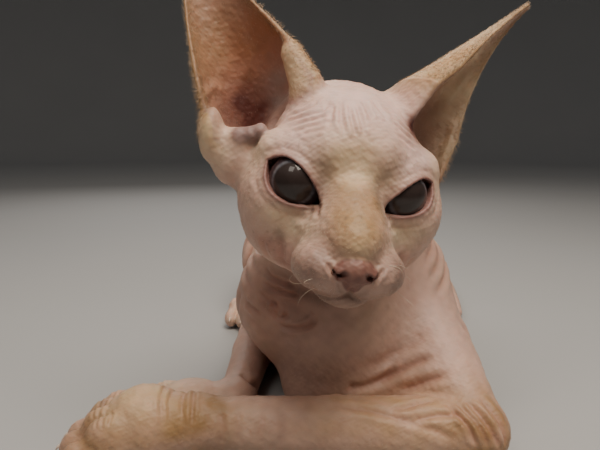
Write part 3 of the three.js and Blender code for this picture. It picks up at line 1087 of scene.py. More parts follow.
@dataclass
class Grid:
    """Makes a mesh of the flesh on a grid that is fine where the forms are fine."""

    x: Ruler = Ruler(((-126, 0.8), (80, 0.8), (90, 1.2)), 112)
    y: Ruler = Ruler(((-101, 0.75), (-14, 0.75), (20, 1.2), (40, 1.4)), 294)
    z: Ruler = Ruler(((-2, 0.9), (30, 0.9), (45, 1.1), (76, 1.1), (84, 0.75)), 222)
    block: int = 8  # grid points a side of the first, rough blocks
    coarse: float = 1.0
    slack: float = 1.5  # how much steeper than true distance the field may be

    def blocks(self, axes: list[Array], size: int) -> tuple[Array, Array]:
        """The middles of all blocks of some grid points a side, and how far their corners reach.

        Args:
            axes: the grid's lines along each axis.
            size: how many grid points a block has a side.

        Returns:
            Middles and reaches.
        """
        cells = [a.reshape(-1, size) for a in axes]
        middles = [(c[:, 0] + c[:, -1]) / 2 for c in cells]
        spans = [c[:, -1] - c[:, 0] + 1.2 for c in cells]
        spots = np.stack(np.meshgrid(*middles, indexing="ij"), -1)
        return spots, np.sqrt(sum(s**2 for s in np.meshgrid(*spans, indexing="ij"))) / 2

    def sample(self) -> tuple[list[Array], Array]:
        """The grid's lines and the field on it, exact only near the skin.

        Returns:
            The lines along each axis, and a value for each grid point.
        """
        axes = [ruler.lines(self.coarse) for ruler in (self.x, self.y, self.z)]
        big, share = self.block, 4
        small = big // share
        shape = [-(-len(a) // big) * big for a in axes]
        axes = [np.concatenate((a, a[-1] + np.arange(1, n - len(a) + 1) * 1.0)) for a, n in zip(axes, shape)]
        spots, reach = self.blocks(axes, big)
        rough = over_cells(spots.reshape(-1, 3), Flesh.distance, 40, 24).reshape(reach.shape)
        near = np.abs(rough) < reach * self.slack + 1
        finer = np.ones((share,) * 3)
        near, rough = np.kron(near, finer).astype(bool), np.kron(np.clip(rough, -9, 9), finer)
        spots, reach = self.blocks(axes, small)
        rough[near] = over_cells(spots[near], Flesh.distance, 20, 12)
        near &= np.abs(rough) < reach * self.slack + 0.3
        finer = np.ones((small,) * 3)
        near = np.kron(near, finer).astype(bool)
        values = np.kron(np.clip(rough, -3, 3), finer).astype(np.float32)
        index = np.argwhere(near)
        points = np.stack([axes[n][index[:, n]] for n in range(3)], -1)
        values[near] = over_cells(points, Flesh.distance, 16, REACH)
        return axes, values

    def mesh(self) -> tuple[Array, Array]:
        """Corners and quads of the skin, one corner in each cell that it passes through.

        Returns:
            One row for each corner, and four corner numbers for each face.
        """
        axes, values = self.sample()
        inside = values < 0
        count = sum(
            inside[a : a - 1 or None, b : b - 1 or None, c : c - 1 or None].astype(np.int8)
            for a in (0, 1)
            for b in (0, 1)
            for c in (0, 1)
        )
        cells = np.argwhere((count > 0) & (count < 8))
        number = np.full(count.shape, -1, np.int64)
        number[tuple(cells.T)] = np.arange(len(cells))
        total, weight = np.zeros((len(cells), 3)), np.zeros(len(cells))
        for axis in range(3):
            others = [n for n in range(3) if n != axis]
            for corner in ((0, 0), (0, 1), (1, 0), (1, 1)):
                start = cells.copy()
                start[:, others] += corner
                finish = start.copy()
                finish[:, axis] += 1
                a, b = values[tuple(start.T)], values[tuple(finish.T)]
                crossed = (a < 0) != (b < 0)
                share = np.where(crossed, a / np.where(crossed, a - b, 1), 0)
                spot = np.stack([axes[n][start[:, n]] for n in range(3)], -1)
                spot[:, axis] += share * (axes[axis][finish[:, axis]] - spot[:, axis])
                total += spot * crossed[:, None]
                weight += crossed
        corners = total / weight[:, None]
        quads = []
        for axis in range(3):
            one, two = [(1, 2), (2, 0), (0, 1)][axis]
            low = np.moveaxis(inside, axis, 0)
            edges = np.argwhere(np.moveaxis(low[1:] != low[:-1], 0, axis))
            edges = edges[(edges[:, one] > 0) & (edges[:, two] > 0)]
            ring = []
            for a, b in ((1, 1), (0, 1), (0, 0), (1, 0)):
                cell = edges.copy()
                cell[:, one] -= a
                cell[:, two] -= b
                ring.append(number[tuple(cell.T)])
            quad = np.stack(ring, -1)
            leaves = inside[tuple(edges.T)]
            quads.append(np.where(leaves[:, None], quad, quad[:, ::-1]))
        return largest_surface(corners, np.vstack(quads))


def largest_surface(corners: Array, quads: Array) -> tuple[Array, Array]:
    """The biggest connected surface alone, which leaves out sealed hollows.

    Args:
        corners: the mesh's corners.
        quads: its faces.

    Returns:
        Its corners and its faces.
    """
    label = np.arange(len(corners))
    a, b = quads.ravel(), np.roll(quads, -1, 1).ravel()
    while True:
        low, high = np.minimum(label[a], label[b]), np.maximum(label[a], label[b])
        if np.array_equal(low, high):
            break
        np.minimum.at(label, high, low)
        while not np.array_equal(label, label[label]):
            label = label[label]
    kept = label == np.bincount(label).argmax()
    renumber = np.cumsum(kept) - 1
    return corners[kept], renumber[quads[kept[quads[:, 0]]]]


def refined(corners: Array, quads: Array, chosen: Array) -> tuple[Array, list[Array]]:
    """Splits the chosen quads in four, and gives their neighbours the new corners on shared edges.

    Args:
        corners: the mesh's corners.
        quads: its faces.
        chosen: which faces are split.

    Returns:
        The corners, with new ones, and the faces as one array for each number of sides.
    """
    edges = np.stack((quads, np.roll(quads, -1, 1)), -1)
    low, high = edges.min(2), edges.max(2)
    key = low * (len(corners) + 1) + high
    split = np.unique(key[chosen])
    halves = (corners[split // (len(corners) + 1)] + corners[split % (len(corners) + 1)]) / 2
    middles = corners[quads[chosen]].mean(1)
    spot = np.clip(np.searchsorted(split, key), 0, len(split) - 1)
    half = np.where(split[spot] == key, spot + len(corners), -1)
    centre = np.arange(len(middles)) + len(corners) + len(halves)
    faces, ours, mids = [], quads[chosen], half[chosen]
    small = [np.stack((ours[:, n], mids[:, n], centre, mids[:, n - 1]), -1) for n in range(4)]
    faces.append(np.vstack(small))
    rest, rest_half = quads[~chosen], half[~chosen]
    extra = (rest_half >= 0).sum(1)
    faces[0] = np.vstack((faces[0], rest[extra == 0]))
    for more in range(1, 5):
        pick = extra == more
        if not pick.any():
            continue
        both = np.stack((rest[pick], rest_half[pick]), -1).reshape(-1, 8)
        faces.append(both[both >= 0].reshape(-1, 4 + more))
    return np.vstack((corners, halves, middles)), faces


@dataclass(frozen=True)
class Fold:
    """A furrow along a line on the skin, with a soft roll on each side."""

    line: tuple[Triple, ...]
    depth: float
    width: float
    place: Place = WORLD
    roll: float = 0.5

    @cached_property
    def route(self) -> Array:
        """Its line, laid on the skin."""
        rough = self.place.out(smooth_line(self.line, max(8, 5 * len(self.line))))
        return onto_skin(rough, 8)[0]

    def near(self, p: Array) -> tuple[Array, Array]:
        """How far points are from it, and how far along it they lie, from 0 to 1.

        Args:
            p: world points.

        Returns:
            Both for each point.
        """
        line = self.route
        best, along = np.full(len(p), FAR), np.zeros(len(p))
        for n, (a, b) in enumerate(zip(line[:-1], line[1:])):
            share = np.clip((p - a) @ (b - a) / max((b - a) @ (b - a), 1e-9), 0, 1)
            away = np.linalg.norm(p - a - share[:, None] * (b - a), axis=1)
            closer = away < best
            best[closer] = away[closer]
            along[closer] = (n + share[closer]) / (len(line) - 1)
        return best, along

    @cached_property
    def box(self) -> tuple[Array, Array]:
        """A box round all that it moves."""
        reach = self.width * 4.5
        return self.route.min(0) - reach, self.route.max(0) + reach


def ends_out(along: Array) -> Array:
    """One along a line, running out to nothing at both its ends."""
    return np.clip(np.sin(np.pi * np.clip(along, 0.01, 0.99)) * 1.9, 0, 1)


def fold_rows(folds: Sequence[Fold], p: Array) -> tuple[Array, Array]:
    """How far folds lift each point along its normal, and how deep in a crease it lies, from 0 to 1.

    Args:
        folds: the folds.
        p: world points.

    Returns:
        The lift and the depth of each point.
    """
    boxed = Boxed.of(folds, [fold.box for fold in folds])
    lift, crease = np.zeros(len(p)), np.zeros(len(p))
    for group in cells_of(p, 12):
        some = p[group]
        for fold in boxed.touching(some):
            away, along = fold.near(some)
            fade = ends_out(along)
            sides = bell(away - fold.width * 2.1, fold.width * 1.1)
            lift[group] += fold.depth * fade * (fold.roll * sides - bell(away, fold.width))
            crease[group] += fade * bell(away, fold.width * 0.9) * fold.depth
    return lift, np.clip(crease, 0, 1.2)


def run_of(
    line: Sequence[Point],
    step: Point,
    count: int,
    depth: float,
    width: float,
    seed: int,
    place: Place = WORLD,
) -> list[Fold]:
    """Creases side by side, each a little different from the last.

    Args:
        line: the points of the first.
        step: how far each lies from the one before.
        count: how many there are.
        depth: how deep they are.
        width: how wide they are.
        seed: picks their differences.
        place: the frame of the points.

    Returns:
        The creases.
    """
    draw = np.random.default_rng(seed)
    folds = []
    for n in range(count):
        points = np.asarray(line, float) + np.asarray(step, float) * n
        points = points + draw.normal(0, width * 0.45, points.shape)
        size = draw.uniform(0.65, 1.2)
        wide = width * draw.uniform(0.85, 1.15)
        folds.append(Fold(tuple(map(tuple, points)), depth * size, wide, place, 0.6))
    return folds


def mirrored(folds: Sequence[Fold]) -> list[Fold]:
    """The same folds and their twins on the other side."""
    twins = [Fold(tuple((-x, y, z) for x, y, z in f.line), f.depth, f.width, f.place, f.roll) for f in folds]
    return [*folds, *twins]


def brow_folds() -> list[Fold]:
    """The fine creases that run down the forehead and fan out over each eye.

    Returns:
        The creases.
    """
    down = (
        ((-6.4, 5, 29.9), (-7.1, -1.3, 26), (-6.8, -5.3, 22.4), (-5.3, -8.5, 18.9)),
        ((-4.4, 0.6, 28), (-3.5, -4.5, 24.1), (-2.4, -7.6, 20.5), (-1.7, -8.8, 18.8)),
        ((-1.9, 1.2, 28.7), (-1.2, -3.5, 25.3), (-0.2, -6.6, 22.1), (0.6, -8.6, 19.1)),
        ((0.5, 4.1, 30.2), (1.7, -1, 27.3), (3.3, -4.2, 24.4)),
        ((-9.3, 2.1, 27.6), (-9.7, -1.7, 24.7), (-10.3, -3.8, 22.4), (-10.9, -5.4, 20.5)),
        ((4.3, 5.9, 30.7), (6.6, 1.2, 27.9), (9.3, -2.2, 24.4)),
    )
    out = (
        ((-13.6, 8.6, 28.8), (-16.2, 5.8, 25.7), (-20, 7.2, 23), (-23.6, 12, 20.8)),
        ((-10.5, 5, 28.6), (-12.2, 0.7, 25.2), (-16.3, 1.9, 23.2), (-20.6, 4.9, 21), (-24.6, 8.4, 18.5)),
        ((-9.6, 0.8, 26.6), (-11.9, -1.8, 23.4), (-15.9, -0.7, 21.4), (-20.2, 1.3, 19.3), (-24.6, 2.8, 16.8)),
        ((-10.6, -3.7, 22.4), (-14.3, -3.5, 20.2), (-18.3, -2, 18.5), (-22.3, -0.8, 16.1)),
        ((-11.8, -5.7, 19.7), (-15.5, -4.7, 18.1), (-19.8, -2.9, 16.3)),
        ((9.5, 3, 27.5), (13.5, 1.5, 24.6), (18.5, 3.2, 22), (23, 7, 19)),
        ((11.5, 0, 24.3), (15.5, -0.5, 21.6), (20.5, 1.4, 18.6)),
        ((12.5, -3.4, 20.6), (16.5, -3, 18.4), (21, -1, 16)),
    )
    folds = [Fold(line, 0.42, 0.85, HEAD, 0.75) for line in down]
    return folds + [Fold(line, 0.36, 0.85, HEAD, 0.7) for line in out]


# The crease round the wing of a nostril, and the long one over the breast
WING = ((9, -32.4, -17.6), (7.9, -33.4, -19.2), (6.6, -33.8, -21.2), (5.6, -33.2, -23.6))
BREAST_LINE = (
    (-10.4, -46, 26.6),
    (1.7, -47.5, 26),
    (15.3, -50.5, 24.2),
    (28.6, -53.6, 20.8),
    (40, -55.7, 16),
)


def face_folds() -> list[Fold]:
    """Creases of the muzzle, cheeks and eye corners.

    Returns:
        The creases.
    """
    sided = [
        Fold(((10.2, -11.4, -3.4), (9.8, -14.6, -6), (10, -18, -9.5)), 0.5, 0.9, HEAD),
        Fold(((12, -13.2, -7.5), (15.5, -12.5, -9.5), (20, -9.5, -9.5)), 0.28, 1.2, HEAD),
        Fold(WING, 0.5, 0.65, HEAD),
        Fold(((16.5, -9, -29), (19, -4.5, -28.2), (21.5, 0.5, -27.5)), 0.5, 1, HEAD),
        Fold(((21.6, -7.3, -18.1), (20.8, -6.4, -23.7), (18.8, -3.7, -29)), 0.7, 1.3, HEAD),
        Fold(((26, -2, -20), (25.5, -1, -25), (23, 2, -29)), 0.4, 1.2, HEAD),
    ]
    return mirrored(sided)


def neck_folds() -> list[Fold]:
    """Creases of the throat, and the collars of loose skin round the neck.

    Returns:
        The creases.
    """
    throat = (
        ((-39.2, -5.9, 73.8), (-35.7, -10, 70.6), (-30.1, -14.4, 69.5), (-24.7, -18.5, 68.4)),
        ((-40.5, -7.1, 68.4), (-35.7, -11, 65.7), (-29.2, -14.7, 64.9), (-22.9, -18.8, 64.8)),
        ((-42.4, -7.4, 63.6), (-37.6, -11.1, 60), (-32.9, -13.2, 56.9), (-33.9, -13, 53.9)),
        ((-34.3, -12.4, 60.4), (-34.8, -12.7, 55.7), (-32, -13.6, 52.7), (-27.4, -15.4, 54.3)),
        ((-40.5, -9.8, 59.6), (-36.7, -12, 54.6), (-32.1, -13.6, 51.3)),
        ((-33, -13.3, 51.2), (-29.8, -14.4, 48.2), (-20.7, -19.3, 50.1), (-15, -22.3, 55.4)),
        ((-49.1, -2.2, 57.1), (-40.5, -10.4, 52.5)),
    )
    folds = [Fold(line, 0.95, 1.15, roll=0.8) for line in throat]
    collar = ((-42, 0, 88), (-44, 14, 92), (-40, 28, 98), (-28, 40, 104))
    folds += run_of(collar, (-1.5, -1.5, -8), 4, 1.1, 1.9, 3)
    collar = ((34, -4, 84), (38, 10, 90), (36, 24, 97), (26, 38, 104))
    folds += run_of(collar, (2, -1, -8), 4, 1.1, 1.9, 4)
    folds += run_of(((-20, 42, 106), (0, 48, 110), (18, 42, 106)), (0, 8, -2.5), 4, 0.8, 2.2, 5)
    return folds


def body_folds() -> list[Fold]:
    """Creases of the breast, armpits, elbows, flanks, thighs and tail root.

    Returns:
        The creases.
    """
    folds = [
        Fold(((-52.7, 2.1, 18), (-47.4, -2.2, 15.3), (-44.1, 4.5, 8.8)), 1.4, 1.8),
        Fold(((-6.1, -38.7, 27.4), (4, -23.1, 24.2), (13.1, -21.8, 26.9), (22.5, -19.4, 30.6)), 0.8, 1.6),
        Fold(((4, -24, 33), (16, -21, 37), (28, -20, 42), (36, -16, 47)), 0.5, 2.2),
        Fold(((10, -25, 25.5), (20, -24, 30), (30, -24, 34), (38, -24, 36)), 1.2, 1.8),
        Fold(((20, -30, 24.5), (28, -29, 27), (36, -29, 29), (44, -29, 29)), 1.1, 1.7),
        Fold(((12.6, -47.7, 25.6), (19.6, -47, 26.1), (26.2, -44.6, 27), (34, -42.7, 27.3)), 0.8, 1.3),
        Fold(((21.8, -50.6, 23.8), (26.9, -50.7, 23.8), (33.1, -49.9, 24.6), (42.9, -50.4, 24.5)), 0.9, 1.3),
        Fold(BREAST_LINE, 0.7, 1.5),
        Fold(((-38, -12, 40), (-42, -8, 46), (-47, -2, 50)), 0.5, 2),
    ]
    folds += run_of(((36, -46, 27.5), (43, -54, 22), (46, -57, 14)), (4.5, 1.2, -0.6), 4, 0.8, 1.2, 6)
    folds += run_of(((46, -8, 46), (51, -14, 36), (54, -24, 26)), (1, 7, 2), 4, 0.9, 2, 7)
    folds += run_of(((-49, 4, 62), (-52, 10, 50), (-50, 16, 38)), (0.5, 8, 0), 3, 0.9, 2, 8)
    for side in (-1, 1):
        flank = ((44 * side, 62, 76), (48 * side, 70, 58), (47 * side, 84, 38), (40 * side, 98, 22))
        folds += run_of(flank, (0.4 * side, 11, 0), 4, 1.1, 2.6, 9 + side)
        knee = ((44 * side, 132, 72), (50 * side, 128, 58), (54 * side, 130, 44), (52 * side, 134, 32))
        folds += run_of(knee, (0.6 * side, 8.5, 1), 3, 1.2, 2.3, 12 + side)
        haunch = ((30 * side, 232, 84), (42 * side, 238, 66), (46 * side, 240, 48))
        folds += run_of(haunch, (-1.5 * side, 7, -2), 3, 0.9, 2.2, 15 + side)
    folds += run_of(((-24, 150, 106), (0, 152, 109), (24, 150, 106)), (0, 13, -0.4), 5, 0.5, 2.6, 18)
    folds += run_of(((-13, 232, 58), (0, 236, 62), (13, 232, 58)), (0, 7, -5.5), 4, 0.7, 1.6, 19)
    folds += run_of(((-30, -50, 27.5), (-30, -53, 20), (-30, -52, 12)), (-8, 0, -0.2), 4, 0.4, 1.5, 20)
    return folds


def paw_folds() -> list[Fold]:
    """Creases across the wrists and over each toe.

    Returns:
        The creases.
    """
    wrist = ((-66, -52, 20), (-67, -46, 28), (-67, -36, 29), (-66, -30, 22))
    folds = run_of(wrist, (-4.2, 0, 0.3), 4, 0.4, 0.9, 21)
    for leg, seed in ((FORELEGS[Side.LEFT], 22), (FORELEGS[Side.RIGHT], 23)):
        paw = leg.paw
        for number in range(paw.toes):
            across, reach = paw.toe(number)
            top = paw.knuckle[1] + paw.swell[2]
            over = ((-3, 2.5), (0, 1), (3, 2.5))
            line = [(across + aside, -36 - reach, top - drop) for aside, drop in over]
            line = [tuple(np.multiply(spot, paw.girth)) for spot in line]
            folds += run_of(line, (0, 2.6, 0.4), 3, 0.28, 0.7, seed * 10 + number, paw.place)
    return folds


@dataclass(frozen=True)
class Lids:
    """The rims, creases and pouches round one eye."""

    side: Side

    @cached_property
    def opening(self) -> LidOpening:
        """The almond between them."""
        return OPENINGS[self.side]

    def spots(self, p: Array) -> tuple[Array, Array, Array]:
        """The points near the eye, how far outside the almond each lies, and where in the lids' own frame.

        Args:
            p: world points.

        Returns:
            The numbers, distances and places of those points.
        """
        low, high = self.opening.box
        close = np.flatnonzero(np.all((p > low - 4) & (p < high + 4), axis=1))
        edge, ahead = self.opening.edge(p[close])
        seen = ahead > -2
        return close[seen], edge[seen], self.opening.place.into(p[close[seen]])

    def lift(self, p: Array) -> tuple[Array, Array]:
        """How far the rim and creases lift each point, and how deep in a crease it lies.

        Args:
            p: world points.

        Returns:
            Both for each point.
        """
        lift, crease = np.zeros(len(p)), np.zeros(len(p))
        close, edge, q = self.spots(p)
        upper, lower = ease(-1.5, 3.5, q[:, 2]), ease(1.5, -4, q[:, 2])
        edge = np.maximum(edge, 0)
        outward = ease(-9, 3, q[:, 0])
        lift[close] = 0.15 * bell(edge - 0.6, 0.6)
        lift[close] += upper * outward * (0.25 * bell(edge - 5.2, 1.9) - 0.15 * bell(edge - 2.9, 0.7))
        pouch = 0.06 * bell(edge - 2.6, 1) - 0.1 * bell(edge - 4.2, 0.8) + 0.12 * bell(edge - 6.5, 1.6)
        lift[close] += lower * pouch
        crease[close] = 0.3 * upper * outward * bell(edge - 2.9, 0.7) + 0.2 * lower * bell(edge - 4.2, 0.8)
        return lift, crease


LIDS = {side: Lids(side) for side in Side}
EAR_FOLDS = tuple(
    Fold(line, depth, width, HEAD, roll)
    for line, depth, width, roll in (
        (((-55.4, 15.7, 21.8), (-54.1, 29.8, 24.5), (-51.6, 35.2, 26.6), (-47.9, 37.1, 24)), -0.5, 1.8, 0.4),
        (((-46.5, 39.5, 28.1), (-50.8, 40.4, 37.2), (-55.7, 41, 46), (-60, 41.5, 56)), -0.4, 2.4, 0.3),
        (((-36.9, 41.4, 31.5), (-40.1, 41.6, 40.8), (-45.1, 42.3, 49.6), (-50, 43, 60)), -0.35, 2.6, 0.3),
        (((-31.2, 39.6, 34.3), (-33.5, 40, 44), (-38, 41, 54)), -0.3, 2.4, 0.3),
        (((35.7, 45.3, 21.2), (43.6, 48.1, 30.7), (51.2, 51.4, 42.4), (58.7, 53.9, 54.1)), -0.5, 2.2, 0.3),
        (((40, 46, 16), (47, 48.5, 26), (54, 51.5, 37), (60, 54, 48)), -0.4, 1.8, 0.3),
        (((44.9, 37.7, 8.3), (48, 41.7, 16.8), (50.6, 46.8, 27.5)), -0.5, 1.5, 0.3),
    )
)


@dataclass(frozen=True)
class Relief:
    """All that is too fine for the grid: folds, lids and the grain of the skin."""

    def rows(self, p: Array) -> tuple[Array, Array]:
        """How far each point is lifted along its normal, and how deep in a crease it lies.

        Args:
            p: world points.

        Returns:
            Both for each point.
        """
        folds = [*brow_folds(), *face_folds(), *neck_folds(), *body_folds(), *paw_folds(), *EAR_FOLDS]
        lift, crease = fold_rows(folds, p)
        for side in Side:
            rim, dip = LIDS[side].lift(p)
            lift, crease = lift + rim, crease + dip
        lift += 0.07 * ripple(p, 1.7, 1) + 0.05 * ripple(p, 0.8, 2)
        return lift * ease(0.3, 1.5, p[:, 2]), np.clip(crease, 0, 1.2)


def ripple(p: Array, length: float, seed: int) -> Array:
    """Smooth random waves of about a length, mostly between -1 and 1.

    Args:
        p: world points.
        length: about how long the waves are.
        seed: picks the waves.

    Returns:
        One value for each point.
    """
    draw = np.random.default_rng(seed)
    total = np.zeros(len(p))
    for way in unit(draw.normal(size=(10, 3))):
        wave = way * 2 * math.pi / (length * draw.uniform(1.4, 3))
        total += np.cos(p @ wave + draw.uniform(0, 2 * math.pi))
    return total / 3.2


# Colours of the hide, as light reflected in red, green and blue; a few stand for painted shade or a painted
# glow, as noted
PINK = (0.61, 0.39, 0.31)
CROWN = (0.72, 0.50, 0.45)
TAN = (0.47, 0.28, 0.12)
CREAM = (0.68, 0.52, 0.34)
GOLD = (0.60, 0.37, 0.15)
MAUVE = (0.42, 0.27, 0.22)
GREY = (0.21, 0.145, 0.105)
RED = (0.42, 0.18, 0.13)
LEATHER = (0.185, 0.08, 0.062)
# painted glow of light shining through the thin ears
EAR_GLOW = (0.33, 0.13, 0.06)
# painted shade for the deep hollows of the ears
HOLLOW_SHADE = (0.11, 0.03, 0.022)
BROWN = (0.13, 0.075, 0.05)
RIM = (0.21, 0.095, 0.085)
# painted shade for the bottoms of folds and creases
CREASE_SHADE = (0.40, 0.19, 0.14)
LILAC = (0.25, 0.155, 0.145)
# painted shade for the nostril hollows
NOSTRIL_SHADE = (0.12, 0.045, 0.035)
FAWN = (0.27, 0.15, 0.065)
SAND = (0.58, 0.40, 0.24)
STRAW = (0.70, 0.54, 0.36)
PLUM = (0.235, 0.145, 0.115)
ASH = (0.40, 0.31, 0.28)
# painted shade for the underside of the jaw, below the nose and the neck under the head
UNDERSIDE_SHADE = (0.12, 0.055, 0.036)
PUPIL = (0.034, 0.024, 0.022)
IRIS = (0.085, 0.085, 0.10)
LIMBUS = (0.05, 0.035, 0.04)
WHITE = (0.14, 0.07, 0.065)


@dataclass(frozen=True)
class Patch:
    """A soft spot of a colour, in a place."""

    colour: Triple
    at: Triple
    radii: Triple
    strength: float
    place: Place = HEAD
    paired: bool = False

    def share(self, p: Array) -> Array:
        """How much of it there is at each point.

        Args:
            p: world points.

        Returns:
            One share for each point.
        """
        q = self.place.into(p)
        if self.paired:
            q[:, 0] = np.abs(q[:, 0])
        q = (q - self.at) / self.radii
        return self.strength * np.exp(-(q * q).sum(1))

    @property
    def box(self) -> tuple[Array, Array]:
        """A box round all that it colours.

        Returns:
            Its lowest and highest corner.
        """
        spots = [self.place.out(self.at)]
        if self.paired:
            spots.append(self.place.out((-self.at[0], *self.at[1:])))
        return np.min(spots, 0) - max(self.radii) * 2.4, np.max(spots, 0) + max(self.radii) * 2.4


FACE_PATCHES = (
    Patch(CROWN, (-2, 8, 26), (26, 20, 13), 0.9),
    Patch(SAND, (-1, -13, 9), (13, 13, 11), 0.9),
    Patch(TAN, (0, -26, -5), (9, 14, 10), 0.85),
    Patch(FAWN, (0, -19, 0.5), (11, 9, 5.5), 0.95),
    Patch(FAWN, (0, -31, -7), (8, 10, 7), 0.8),
    Patch(CREAM, (-1, -12, 9.5), (10, 8, 4.5), 0.6),
    Patch(CREAM, (0, -35, -12), (6, 5, 4), 0.45),
    Patch(CREAM, (19.5, -8, -12), (10, 10, 6), 0.75, paired=True),
    Patch(CREAM, (12, -17, -12), (5, 6, 5), 0.5, paired=True),
    Patch(CREAM, (31, 3, 8), (6, 9, 10), 0.5, paired=True),
    Patch(CROWN, (22, -3, 14), (8, 8, 5), 0.8, paired=True),
    Patch(CROWN, (18, -6, 9.5), (6, 5, 3), 0.4, paired=True),
    Patch(PLUM, (12.5, -30, -20), (9, 10, 8), 0.92, paired=True),
    # painted shade under the jaw and below the nose
    Patch(UNDERSIDE_SHADE, (8, -24, -34), (14, 13, 7), 0.85, paired=True),
    Patch(UNDERSIDE_SHADE, (0, -33, -28), (7, 6, 3.4), 0.6),
    Patch(MAUVE, (6, -33, -25), (4, 4, 3), 0.5, paired=True),
    Patch(RED, (19, -8, -27), (8, 10, 6), 0.5, paired=True),
    Patch(GREY, (-14, -9.3, 9.9), (3.4, 4, 4.6), 0.35),
    Patch(GREY, (13.3, -9.1, 12.9), (3.4, 4, 4.6), 0.42),
    Patch(GREY, (-11.5, -12, 3), (4, 5, 5.5), 0.75),
    Patch(GREY, (9, -14, 3), (4.2, 5, 5.5), 0.7),
    Patch(GREY, (9.5, -18, -4), (2.5, 5, 5), 0.4),
    Patch(GOLD, (-2.6, -16.4, 7), (3.8, 4, 4), 0.55),
    Patch(GOLD, (-1, -33, -8), (5, 6, 6), 0.3),
    Patch(BROWN, (5, -11.8, 13.8), (1, 1.4, 1.2), 0.6),
    Patch(GREY, (-22.7, -7, -18), (3, 4, 3.4), 0.55),
    Patch(RED, (-26, -3.3, -23.5), (5, 6, 5), 0.5),
    Patch(RED, (24, -4, -22), (5, 6, 5), 0.25),
    Patch(GREY, (8.8, -31, -13.5), (1.6, 2, 1.6), 0.5),
    Patch(BROWN, (-10.8, -11.6, -3.6), (1.6, 2, 2), 0.7),
    Patch(BROWN, (10.8, -11.6, -3.6), (1.6, 2, 2), 0.7),
)
BODY_PATCHES = tuple(
    Patch(colour, at, radii, strength, WORLD)
    for colour, at, radii, strength in (
        # red-brown painted shade on the throat under the chin
        (RED, (-30, -14, 62), (17, 13, 14), 0.75),
        # painted shade on the neck under the head
        (UNDERSIDE_SHADE, (-16, -20, 66), (28, 20, 14), 0.75),
        # the chest's own mauve tone, darkened further as painted shade under the head
        (MAUVE, (-22, -16, 42), (26, 18, 20), 0.6),
        (CROWN, (34, -10, 48), (18, 20, 20), 0.35),
        (CREAM, (8, -20, 50), (9, 12, 12), 0.15),
        (TAN, (20, -46, 22), (44, 18, 13), 0.6),
        (FAWN, (-66, -46, 24), (18, 20, 17), 1),
        (TAN, (-90, -48, 28), (20, 20, 16), 0.75),
        (FAWN, (-107, -54, 18), (18, 20, 13), 0.85),
        (FAWN, (50, -52, 20), (16, 17, 15), 0.95),
        (CREAM, (-92, -42, 30), (18, 16, 8), 0.4),
        (BROWN, (-104.5, -40.8, 25.4), (2.2, 2.6, 2.2), 0.55),
        (GREY, (-90, -52, 22), (5, 5, 5), 0.25),
        (CREAM, (-88, -7, 10), (24, 16, 12), 0.6),
        (CREAM, (56, 118, 10), (14, 26, 12), 0.6),
        (CREAM, (-56, 118, 10), (14, 26, 12), 0.6),
        (TAN, (0, 110, 112), (20, 100, 16), 0.35),
        (TAN, (0, 215, 92), (34, 40, 26), 0.3),
        (TAN, (60, 240, 10), (60, 60, 22), 0.5),
        (GREY, (-28, 96, 92), (12, 16, 12), 0.16),
        (GREY, (30, 168, 86), (14, 18, 12), 0.16),
    )
)

EAR_PATCHES = (
    # painted glow of light through the right ear
    Patch(EAR_GLOW, (-42, 41, 38), (10, 12, 14), 0.7),
    Patch(FAWN, (-55, 36, 46), (8, 16, 18), 0.55),
    Patch(ASH, (-27, 36, 27), (6, 14, 12), 0.8),
    # painted shade deep in the right ear's cup
    Patch(HOLLOW_SHADE, (-38, 38, 19.5), (10, 18, 10), 1.25),
    Patch(CREAM, (-50, 12, 6), (8, 10, 9), 0.65),
    Patch(CREAM, (54, 50, 46), (16, 16, 28), 0.85),
    # painted shade in the notch at the root of the left ear
    Patch(HOLLOW_SHADE, (22, 10, 22), (6, 9, 6.5), 1.0),
    Patch(CREAM, (49, 40, 12), (7, 10, 9), 0.5),
)


@cache
def freckles(seed: int = 11) -> Boxed:
    """Small brown specks on the bridge of the nose, the pads and the cheeks.

    Args:
        seed: picks their places and sizes.

    Returns:
        The specks and their boxes.
    """
    draw = np.random.default_rng(seed)
    fields = (
        ((-2, -29, -5), (6, 6, 8), 34),
        ((-14, -26, -18), (5, 5, 5), 16),
        ((14, -26, -18), (5, 5, 5), 16),
        ((-25, -4, -22), (4, 4, 5), 14),
        ((9, -18, -6), (3, 5, 5), 10),
    )
    specks = []
    for middle, spread, count in fields:
        spots = np.array(middle) + draw.normal(size=(count, 3)) * spread * 0.6
        spots = HEAD.into(laid(FACE, HEAD.out(spots), 12))
        for spot in spots:
            size = draw.uniform(0.25, 0.6)
            specks.append(Patch(BROWN, tuple(spot), (size, size, size), draw.uniform(0.2, 0.45)))
    return Boxed.of(specks, [speck.box for speck in specks])


@cache
def patches() -> Boxed:
    """All the larger markings."""
    both = (*BODY_PATCHES, *FACE_PATCHES)
    return Boxed.of(both, [patch.box for patch in both])


@cache
def ear_patches() -> Boxed:
    """The markings laid over the colours of the ears."""
    return Boxed.of(EAR_PATCHES, [patch.box for patch in EAR_PATCHES])


def blend_in(colour: Array, more: Point, share: Array) -> Array:
    """Some of another colour, as much of it as each row's share."""
    return mix(colour, np.asarray(more), np.clip(share, 0, 1)[:, None])


